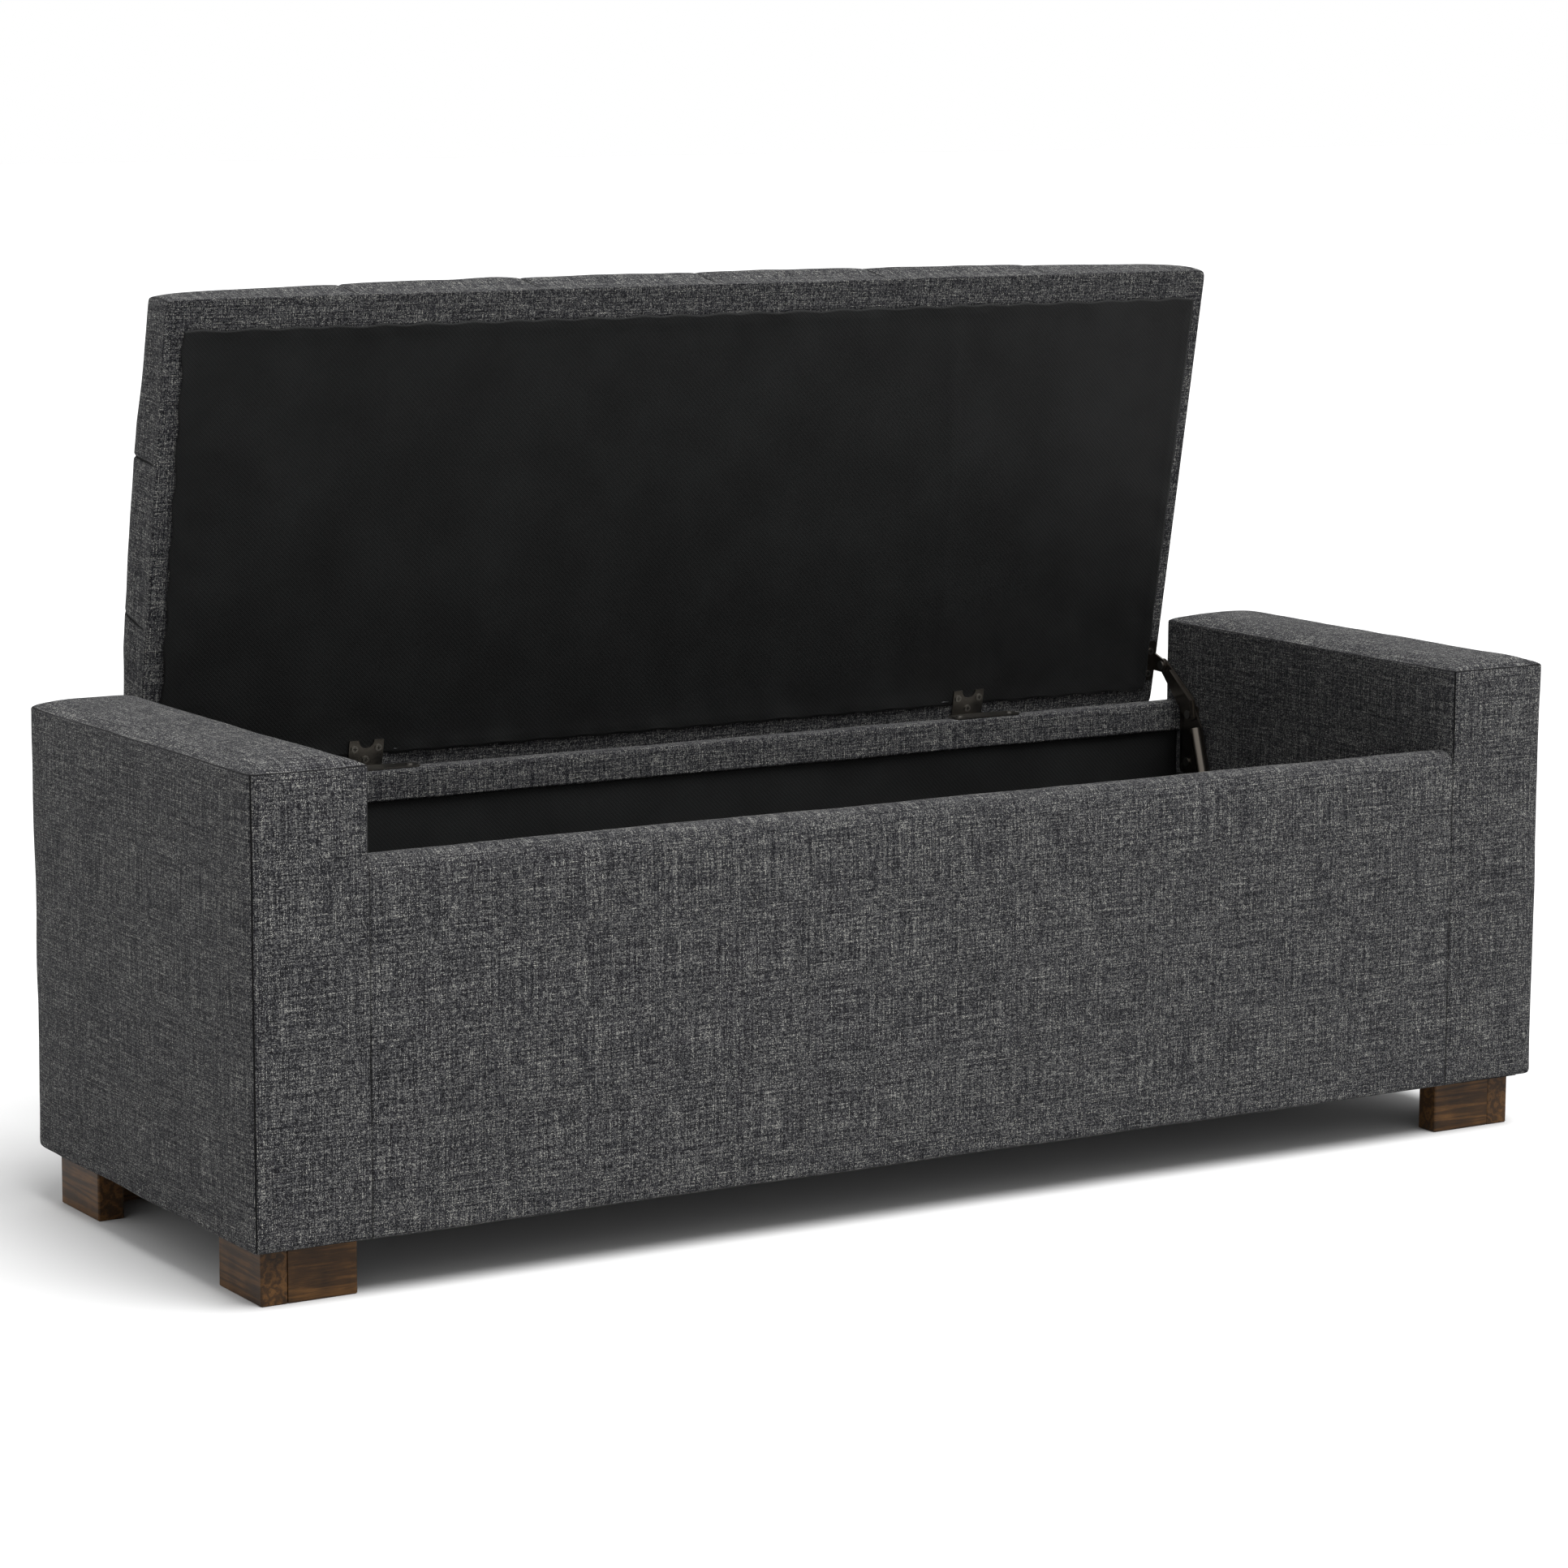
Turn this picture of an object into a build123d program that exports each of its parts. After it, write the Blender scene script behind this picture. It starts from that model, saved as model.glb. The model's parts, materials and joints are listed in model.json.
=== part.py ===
"""Upholstered storage bench with a hinged, padded lid between two fixed arms.

Millimetres. +Z is up, +X is to the right seen from the front, and the front faces -Y.
The lid is drawn standing open. Everything is measured from the floor under the middle of the body,
and each finished piece is then brought forward by half of what the open lid hangs out behind, so
that the origin lies on the floor under the middle of the whole bench.
"""
from build123d import *
import os
from math import cos, radians, sin

os.makedirs("parts", exist_ok=True)

# ---------------------------------------------------------------- driving dimensions
width = 1372.0            # over both arms
depth = 466.0             # over the arms, front to back
arm_width = 109.0
arm_height = 455.0        # floor to the seam round the top of an arm
body_bottom = 50.0        # floor to the underside of the body
front_rail_top = 377.5
back_rail_top = 373.0

cloth = 1.0               # cover fabric, lining and dust cloths
ply = 15.0                # front, back and lid boards
thin_ply = 12.0           # arm inner boards and top slats
skin_ply = 9.0            # arm outer boards and storage floor

# arm: foam wraps the outside of a plywood and batten box
arm_side_foam = 14.0
arm_top_foam = 21.0
arm_front_foam = 10.0
arm_rear_foam = 6.0
arm_post = 20.0
arm_bottom_rail = 24.0
arm_corner_radius = 12.0
arm_inner_radius = 2.5
arm_top_radius = 2.0

# front wall and back wall of the storage well
front_foam = 12.0
front_band = 22.0         # fabric turned down inside the front wall
back_inset = 5.0          # back wall in from the rear of the arms
back_padding = 5.0
back_band = 28.0          # fabric turned down inside the back wall
front_edge_radius = 14.0
back_edge_radius = 5.0

# storage well
cleat = 21.0
side_lining_top = 298.0

# feet: two boards glued into an L
foot_board = 25.0
foot_x = 90.0
foot_y = 84.0
foot_side_inset = 14.0
foot_front_inset = 20.0
foot_rear_inset = 24.0
foot_edge_radius = 2.0
foot_chamfer = 1.0

# lid
lid_open_angle = 79.5
lid_side_gap = 6.0
lid_depth = 460.0
lid_rear_step = 3.0       # lid's rear face in front of the hinge pin, when closed
lid_lift = 20.0           # lid's underside above the hinge pin, when closed
lid_thickness = 74.0
lid_corner_radius = 14.0
lid_top_radius = 16.0
lid_margin = 40.0         # cover fabric turned under the board
lid_cloth_inset = 16.0    # dust cloth in from the lid's edges

# hinges
hinge_x = 340.0
pin_y = 233.0
pin_z = 358.0
pin_radius = 2.0
pin_overhang = 1.0        # pin past the leaf at each end
knuckle_radius = 4.2
knuckle_inner = 10.0      # fixed knuckles run from here to the edge of the leaf
leaf_half = 18.0
leaf = 1.5
leaf_corner_radius = 3.0
leaf_lap = 3.0            # crank under the lid, past its rear face
moving_screws = ((-12.5, -27.0), (12.5, -27.0), (0.0, -16.0))
fixed_leaf_half = 38.0
fixed_leaf_front = 208.0
fixed_screw_x = 30.0
fixed_screw_y = 217.0
moving_leaf_length = 32.0
notch_radius = 8.0
pin_clearance = 0.05
side_clearance = 0.3

# lid stays: a lower arm and an upper arm make a parallelogram with the lid
stay_plate = 2.0
stay_gap = 0.5
stay_pivot_lid = (229.0, 408.0)     # (y, z), lid open
stay_pivot_elbow = (184.0, 362.0)
stay_knee = (177.0, 377.0)
stay_heel = (174.0, 360.0)
flange_start = (213.0, 404.3)
flange_height = 4.0
flange_width = 1.6
stay_end_radius = 7.0
stay_base_radius = 9.0
stay_knee_radius = 2.0
rivet_radius = 2.5
rivet_head_radius = 4.5
rivet_head = 1.3
head_gap = 0.2
open_pivot_clearance = 0.3
tube_top = (166.0, 350.0)
tube_bottom = (150.0, 298.0)
tube_radius = 6.5
tube_wall = 1.2
tube_slit = 2.5
tube_lap = 0.4            # lower arm's plate let into the tube's wall
base_plate_y = (174.0, 204.0)
base_plate_z = (300.0, 371.0)
base_screws = ((198.0, 365.0), (180.0, 365.0), (199.0, 306.0))
plate_corner_radius = 4.0
bracket_y = (-72.0, -30.0)          # along the lid, from the hinge pin
bracket_screw_y = (-61.0, -37.0)

# screws
screw_head_radius = 3.4
screw_head = 1.2
screw_shank = 1.8
screw_length = 15.0
screw_recess = 1.3        # depth of the seat for a sunk head
cross_length = 4.0
cross_width = 0.9
foot_screw_radius = 2.5
foot_screw_head_radius = 4.5
foot_screw_head = 3.0
foot_screw_tip = 18.0
foot_side_screw = (15.0, 59.0)      # in from the foot's outer side, and along from its end
foot_cross_screw = (55.0, 16.5)

# ---------------------------------------------------------------- worked-out places
front = -depth / 2
rear = depth / 2
arm_in = width / 2 - arm_width
arm_out = width / 2
back_face = rear - back_inset
front_board_y = (front + cloth + front_foam, front + cloth + front_foam + ply)
back_board_y = (back_face - cloth - ply, back_face - cloth)
lid_half = arm_in - lid_side_gap
lid_y = (-lid_rear_step - lid_depth, -lid_rear_step)
lid_z = (lid_lift + cloth, lid_lift + lid_thickness)
board_z = (lid_z[0] + cloth, lid_z[0] + cloth + ply)
floor_z = (body_bottom + cleat, body_bottom + cleat + skin_ply)
inside_y = (front_board_y[1], back_board_y[0])
sides = (("left", -1), ("right", 1))
turn = radians(lid_open_angle)
lid_overhang = (
    (lid_z[1] - lid_top_radius) * sin(turn)
    - (lid_rear_step + lid_top_radius) * cos(turn)
    + lid_top_radius
)
stand = Location((0, -lid_overhang / 2, 0))

# closed-lid coordinates, measured from the hinge pin, turned to where the open lid stands
lid_plane = Plane(origin=(0, pin_y, pin_z)).rotated((-lid_open_angle, 0, 0))
lid_back = lid_plane.from_local_coords((0, 1, 0)) - lid_plane.origin
lid_up = lid_plane.from_local_coords((0, 0, 1)) - lid_plane.origin
lid_axis = Axis((0, 0, 0), tuple(lid_up))


def span(side, near, far):
    """Low and high X of a stretch that runs from near to far on the given side."""
    return (min(side * near, side * far), max(side * near, side * far))


def block(x, y, z, mode=Mode.ADD):
    """A block between (low, high) pairs, in the part being built."""
    with Locations(((x[0] + x[1]) / 2, (y[0] + y[1]) / 2, (z[0] + z[1]) / 2)):
        Box(x[1] - x[0], y[1] - y[0], z[1] - z[0], mode=mode)


def lid_block(x, y, z, mode=Mode.ADD):
    """A block between (low, high) pairs of closed-lid coordinates."""
    with BuildSketch(lid_plane.offset(z[0])) as footprint:
        with Locations(((x[0] + x[1]) / 2, (y[0] + y[1]) / 2)):
            Rectangle(x[1] - x[0], y[1] - y[0])
    extrude(footprint.sketch, amount=z[1] - z[0], mode=mode)


def upright_plane(x):
    """Plane across the bench at x: its own X runs to the rear and its own Y runs up."""
    return Plane(origin=(x, 0, 0), x_dir=(0, 1, 0), z_dir=(1, 0, 0))


def lid_upright_plane(x):
    """The same plane in closed-lid coordinates."""
    return Plane(origin=(x, pin_y, pin_z), x_dir=lid_back, z_dir=(1, 0, 0))


def profile(y, z):
    """A rectangle between (low, high) pairs, in the sketch being built on an upright plane."""
    with Locations(((y[0] + y[1]) / 2, (z[0] + z[1]) / 2)):
        Rectangle(y[1] - y[0], z[1] - z[0])


def top_corner(section, which):
    """The front (0) or rear (-1) upper corner of a section drawn on an upright plane."""
    return section.vertices().group_by(Axis.Y)[-1].sort_by(Axis.X)[which]


def disc(plane, centre, radius, thickness, mode=Mode.ADD):
    """A round disc, pin or hole on a plane."""
    with BuildSketch(plane) as outline:
        with Locations(centre):
            Circle(radius)
    extrude(outline.sketch, amount=thickness, mode=mode)


def screw(seat, head=screw_head, sunk=0.0):
    """A cross-recessed screw whose head stands on the seat plane, or is sunk below it."""
    top = seat.offset(head - sunk)
    disc(seat.offset(-sunk), (0, 0), screw_head_radius, head)
    disc(seat.offset(-sunk), (0, 0), screw_shank, -screw_length)
    with BuildSketch(top) as recess:
        Rectangle(cross_length, cross_width)
        Rectangle(cross_width, cross_length)
    extrude(recess.sketch, amount=-head / 2, mode=Mode.SUBTRACT)


def save(piece, name):
    """Stand a finished piece in its place, name it and write it."""
    finished = piece.part.moved(stand)
    finished.label = name
    export_step(finished, f"parts/{name}.step")


def padded_arm(side, inset, outer_radius, inner_radius, top_radius):
    """The padded shape of an arm, this far in from the outside of its fabric."""
    with BuildPart() as padded:
        block(
            span(side, arm_in + inset, arm_out - inset),
            (front + inset, rear - inset),
            (body_bottom, arm_height - inset),
        )
        uprights = padded.edges().filter_by(Axis.Z).sort_by(Axis((0, 0, 0), (side, 0, 0)))
        fillet(uprights[-2:], outer_radius)
        fillet(uprights[:2], inner_radius)
        fillet(padded.faces().sort_by(Axis.Z)[-1].edges(), top_radius)
    return padded.part


def padded_lid(inset, bottom):
    """The padded shape of the lid, this far in from the outside of its fabric."""
    with BuildPart() as padded:
        lid_block(
            (-lid_half + inset, lid_half - inset),
            (lid_y[0] + inset, lid_y[1] - inset),
            (bottom, lid_z[1] - inset),
        )
        fillet(padded.edges().filter_by(lid_axis), lid_corner_radius - inset)
        fillet(padded.faces().sort_by(lid_axis)[-1].edges(), lid_top_radius - inset)
    return padded.part


# ---------------------------------------------------------------- arms
arm_frame_y = (front + cloth + arm_front_foam, rear - cloth - arm_rear_foam)
arm_frame_top = arm_height - cloth - arm_top_foam
arm_frame_out = arm_out - cloth - arm_side_foam
arm_hollow = (arm_in + cloth + thin_ply, arm_frame_out - skin_ply)
post_z = (body_bottom + arm_bottom_rail, arm_frame_top - thin_ply)

for side_name, side in sides:
    with BuildPart() as inner_board:
        block(
            span(side, arm_in + cloth, arm_hollow[0]),
            arm_frame_y,
            (body_bottom, post_z[1]),
        )
    save(inner_board, f"{side_name}_arm_inner_board")

    with BuildPart() as outer_board:
        block(span(side, arm_hollow[1], arm_frame_out), arm_frame_y, (body_bottom, post_z[1]))
    save(outer_board, f"{side_name}_arm_outer_board")

    with BuildPart() as bottom_rail:
        block(span(side, *arm_hollow), arm_frame_y, (body_bottom, post_z[0]))
    save(bottom_rail, f"{side_name}_arm_bottom_rail")

    with BuildPart() as front_post:
        block(span(side, *arm_hollow), (arm_frame_y[0], arm_frame_y[0] + arm_post), post_z)
    save(front_post, f"{side_name}_arm_front_post")

    with BuildPart() as rear_post:
        block(span(side, *arm_hollow), (arm_frame_y[1] - arm_post, arm_frame_y[1]), post_z)
    save(rear_post, f"{side_name}_arm_rear_post")

    with BuildPart() as top_slat:
        block(span(side, arm_in + cloth, arm_frame_out), arm_frame_y, (post_z[1], arm_frame_top))
    save(top_slat, f"{side_name}_arm_top_slat")

    padded_outside = padded_arm(side, 0, arm_corner_radius, arm_inner_radius, arm_top_radius)
    padded_inside = padded_arm(
        side, cloth, arm_corner_radius - cloth, arm_inner_radius - cloth, arm_top_radius - cloth
    )

    with BuildPart() as arm_foam:
        add(padded_inside)
        block(
            span(side, arm_in + cloth, arm_frame_out),
            arm_frame_y,
            (body_bottom, arm_frame_top),
            mode=Mode.SUBTRACT,
        )
    save(arm_foam, f"{side_name}_arm_foam")

    with BuildPart() as arm_cover:
        add(padded_outside)
        add(padded_inside, mode=Mode.SUBTRACT)
    save(arm_cover, f"{side_name}_arm_cover")

# ---------------------------------------------------------------- front wall
between_arms = (-arm_in, arm_in)

with BuildPart() as front_board:
    block(between_arms, front_board_y, (body_bottom, front_rail_top - cloth - front_foam))
save(front_board, "front_panel_board")

with BuildPart() as front_padded:
    with BuildSketch(upright_plane(-arm_in)) as front_section:
        profile((front + cloth, front_board_y[1]), (body_bottom, front_rail_top - cloth))
        fillet(top_corner(front_section, 0), front_edge_radius - cloth)
        fillet(top_corner(front_section, -1), back_edge_radius)
    extrude(amount=2 * arm_in)

with BuildPart() as front_foam_pad:
    add(front_padded.part)
    block(
        between_arms,
        front_board_y,
        (body_bottom, front_rail_top - cloth - front_foam),
        mode=Mode.SUBTRACT,
    )
save(front_foam_pad, "front_panel_foam")

with BuildPart() as front_cover:
    with BuildSketch(upright_plane(-arm_in)) as front_outside:
        profile((front, front_board_y[1] + cloth), (body_bottom, front_rail_top))
        fillet(top_corner(front_outside, 0), front_edge_radius)
        fillet(top_corner(front_outside, -1), back_edge_radius + cloth)
    extrude(amount=2 * arm_in)
    add(front_padded.part, mode=Mode.SUBTRACT)
    block(
        between_arms,
        (front_board_y[1], front_board_y[1] + cloth),
        (body_bottom, front_rail_top - front_band),
        mode=Mode.SUBTRACT,
    )
save(front_cover, "front_panel_cover")

# ---------------------------------------------------------------- back wall
back_band_bottom = back_rail_top - back_band
padding_y = (back_board_y[0] - back_padding, back_board_y[1])

with BuildPart() as back_board:
    block(between_arms, back_board_y, (body_bottom, back_rail_top - cloth - back_padding))
save(back_board, "back_panel_board")

with BuildPart() as back_padding_strip:
    with BuildSketch(upright_plane(-arm_in)) as back_section:
        profile(padding_y, (back_band_bottom + cloth, back_rail_top - cloth))
        fillet(back_section.vertices().group_by(Axis.Y)[-1], back_edge_radius - cloth)
    extrude(amount=2 * arm_in)
    block(
        between_arms,
        back_board_y,
        (body_bottom, back_rail_top - cloth - back_padding),
        mode=Mode.SUBTRACT,
    )
save(back_padding_strip, "back_rail_padding")

with BuildPart() as back_cover:
    with BuildSketch(upright_plane(-arm_in)) as back_outside:
        profile((padding_y[0] - cloth, back_face), (body_bottom, back_rail_top))
        fillet(back_outside.vertices().group_by(Axis.Y)[-1], back_edge_radius)
    extrude(amount=2 * arm_in)
    with BuildSketch(upright_plane(-arm_in)) as back_inside:
        profile(padding_y, (body_bottom, back_rail_top - cloth))
        fillet(back_inside.vertices().group_by(Axis.Y)[-1], back_edge_radius - cloth)
        with Locations((padding_y[0] + back_padding / 2, back_band_bottom + cloth / 2)):
            Rectangle(back_padding, cloth, mode=Mode.SUBTRACT)
    extrude(amount=2 * arm_in, mode=Mode.SUBTRACT)
    block(
        between_arms,
        (padding_y[0] - cloth, back_board_y[0]),
        (body_bottom, back_band_bottom),
        mode=Mode.SUBTRACT,
    )
save(back_cover, "back_panel_cover")

# ---------------------------------------------------------------- storage well
with BuildPart() as floor_cleats:
    for edge, inward in ((inside_y[0], 1), (inside_y[1], -1)):
        cleat_y = sorted((edge, edge + inward * cleat))
        block(between_arms, cleat_y, (body_bottom, floor_z[0]))
save(floor_cleats, "floor_cleats")

with BuildPart() as floor_board:
    block(between_arms, inside_y, floor_z)
save(floor_board, "storage_floor_board")

with BuildPart() as floor_lining:
    block(between_arms, inside_y, (floor_z[1], floor_z[1] + cloth))
save(floor_lining, "storage_floor_lining")

with BuildPart() as wall_lining:
    lining_bottom = floor_z[1] + cloth
    block(between_arms, inside_y, (lining_bottom, side_lining_top))
    block(
        (-arm_in + cloth, arm_in - cloth),
        (inside_y[0] + cloth, inside_y[1] - cloth),
        (lining_bottom, side_lining_top),
        mode=Mode.SUBTRACT,
    )
    block(
        between_arms,
        (inside_y[0], inside_y[0] + cloth),
        (side_lining_top, front_rail_top - front_band),
    )
    block(between_arms, (inside_y[1] - cloth, inside_y[1]), (side_lining_top, back_band_bottom))
save(wall_lining, "storage_wall_lining")

with BuildPart() as underside_cloth:
    block(
        (-arm_out + 2 * cloth, arm_out - 2 * cloth),
        (front + 2 * cloth, back_face),
        (body_bottom - cloth, body_bottom),
    )
save(underside_cloth, "underside_dust_cloth")

# ---------------------------------------------------------------- feet
foot_top = body_bottom - cloth
foot_out = arm_out - foot_side_inset
ends = (("front", front + foot_front_inset, 1), ("rear", rear - foot_rear_inset, -1))

for side_name, side in sides:
    for end_name, edge, inward in ends:
        with BuildPart() as side_board:
            foot_y_span = sorted((edge, edge + inward * foot_y))
            block(span(side, foot_out - foot_board, foot_out), foot_y_span, (0, foot_top))
            fillet(side_board.edges().filter_by(Axis.Z), foot_edge_radius)
            chamfer(side_board.faces().sort_by(Axis.Z)[0].edges(), foot_chamfer)
        save(side_board, f"{end_name}_{side_name}_foot_side_board")

        with BuildPart() as cross_board:
            board_y_span = sorted((edge, edge + inward * foot_board))
            block(span(side, foot_out - foot_x, foot_out - foot_board), board_y_span, (0, foot_top))
            outer_edges = cross_board.edges().filter_by(Axis.Z).sort_by(Axis.X)
            fillet(outer_edges[:2] if side > 0 else outer_edges[-2:], foot_edge_radius)
            chamfer(cross_board.faces().sort_by(Axis.Z)[0].edges(), foot_chamfer)
        save(cross_board, f"{end_name}_{side_name}_foot_cross_board")

with BuildPart() as foot_screws:
    for side_name, side in sides:
        for end_name, edge, inward in ends:
            for from_side, from_edge in (foot_side_screw, foot_cross_screw):
                spot = (side * (foot_out - from_side), edge + inward * from_edge)
                disc(
                    Plane.XY.offset(foot_screw_tip),
                    spot,
                    foot_screw_radius,
                    post_z[0] - foot_screw_tip,
                )
                disc(Plane.XY.offset(post_z[0]), spot, foot_screw_head_radius, foot_screw_head)
save(foot_screws, "foot_screws")

# ---------------------------------------------------------------- lid
lid_outside = padded_lid(0, lid_z[0])
lid_inside = padded_lid(cloth, board_z[0])

with BuildPart() as lid_board:
    add(lid_inside)
    lid_block(
        (-lid_half, lid_half), lid_y, (board_z[1], lid_z[1] + cloth), mode=Mode.SUBTRACT
    )
save(lid_board, "lid_board")

with BuildPart() as lid_foam:
    add(lid_inside)
    lid_block((-lid_half, lid_half), lid_y, (lid_z[0], board_z[1]), mode=Mode.SUBTRACT)
save(lid_foam, "lid_foam")

with BuildPart() as lid_cover:
    add(lid_outside)
    add(lid_inside, mode=Mode.SUBTRACT)
    lid_block(
        (-lid_half + lid_margin, lid_half - lid_margin),
        (lid_y[0] + lid_margin, lid_y[1] - lid_margin),
        (lid_z[0], board_z[0]),
        mode=Mode.SUBTRACT,
    )
save(lid_cover, "lid_cover")

with BuildPart() as lid_dust_cloth:
    lid_block(
        (-lid_half + lid_cloth_inset, lid_half - lid_cloth_inset),
        (lid_y[0] + lid_cloth_inset, lid_y[1] - lid_cloth_inset),
        (lid_lift, lid_lift + cloth),
    )
save(lid_dust_cloth, "lid_dust_cloth")

# ---------------------------------------------------------------- hinges
moving_half = knuckle_inner - side_clearance
bend_bottom = pin_z + knuckle_radius + 2 * side_clearance

for side_name, side in sides:
    centre = side * hinge_x
    with BuildPart() as fixed_leaf:
        with BuildSketch(Plane.XY.offset(back_rail_top)) as fixed_plate:
            with Locations((centre, (fixed_leaf_front + back_face) / 2)):
                Rectangle(2 * fixed_leaf_half, back_face - fixed_leaf_front)
            fillet(fixed_plate.vertices(), leaf_corner_radius)
            with Locations(
                (centre - fixed_screw_x, fixed_screw_y), (centre + fixed_screw_x, fixed_screw_y)
            ):
                Circle(screw_shank + side_clearance, mode=Mode.SUBTRACT)
        extrude(amount=leaf)
        block(
            (centre - leaf_half, centre + leaf_half),
            (back_face - leaf, back_face + leaf),
            (back_rail_top, back_rail_top + leaf),
        )
        block(
            (centre - leaf_half, centre + leaf_half),
            (back_face, back_face + leaf),
            (bend_bottom, back_rail_top + leaf),
        )
        for knuckle_start in (centre - leaf_half, centre + knuckle_inner):
            with BuildSketch(upright_plane(knuckle_start)):
                with Locations((pin_y, pin_z)):
                    Circle(knuckle_radius)
                profile((back_face, back_face + leaf), (pin_z, back_rail_top))
                with Locations((pin_y, pin_z)):
                    Circle(pin_radius, mode=Mode.SUBTRACT)
            extrude(amount=leaf_half - knuckle_inner)
    save(fixed_leaf, f"{side_name}_hinge_fixed_leaf")

    with BuildPart() as moving_leaf:
        with BuildSketch(lid_plane.offset(lid_lift - leaf)) as moving_plate:
            with Locations((centre, -lid_rear_step - moving_leaf_length / 2)):
                Rectangle(2 * leaf_half, moving_leaf_length)
            with Locations((centre, -lid_rear_step - moving_leaf_length)):
                Circle(notch_radius, mode=Mode.SUBTRACT)
            with Locations(*[(centre + x, y) for x, y in moving_screws]):
                Circle(screw_shank + side_clearance, mode=Mode.SUBTRACT)
        extrude(amount=leaf)
        with BuildSketch(lid_upright_plane(centre - moving_half)):
            Circle(knuckle_radius)
            profile((knuckle_radius - leaf, knuckle_radius), (0, lid_lift))
            profile((-lid_rear_step - leaf_lap, knuckle_radius), (lid_lift - leaf, lid_lift))
            Circle(pin_radius + pin_clearance, mode=Mode.SUBTRACT)
        extrude(amount=2 * moving_half)
    save(moving_leaf, f"{side_name}_hinge_moving_leaf")

with BuildPart() as hinge_pins:
    for side_name, side in sides:
        disc(
            upright_plane(side * hinge_x - leaf_half - pin_overhang),
            (pin_y, pin_z),
            pin_radius,
            2 * (leaf_half + pin_overhang),
        )
save(hinge_pins, "hinge_pins")

# ---------------------------------------------------------------- lid stays
base_x = (arm_in - stay_plate, arm_in)
lower_x = (base_x[0] - stay_gap - stay_plate, base_x[0] - stay_gap)
upper_x = (lower_x[0] - stay_gap - stay_plate, lower_x[0] - stay_gap)
ear_x = (upper_x[0] - stay_gap - stay_plate, upper_x[0] - stay_gap)

lid_arm = (stay_pivot_lid[0] - pin_y, stay_pivot_lid[1] - pin_z)
stay_pivot_base = (stay_pivot_elbow[0] - lid_arm[0], stay_pivot_elbow[1] - lid_arm[1])
ear_pivot = (
    lid_arm[0] * cos(turn) - lid_arm[1] * sin(turn),
    lid_arm[0] * sin(turn) + lid_arm[1] * cos(turn),
)

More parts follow.
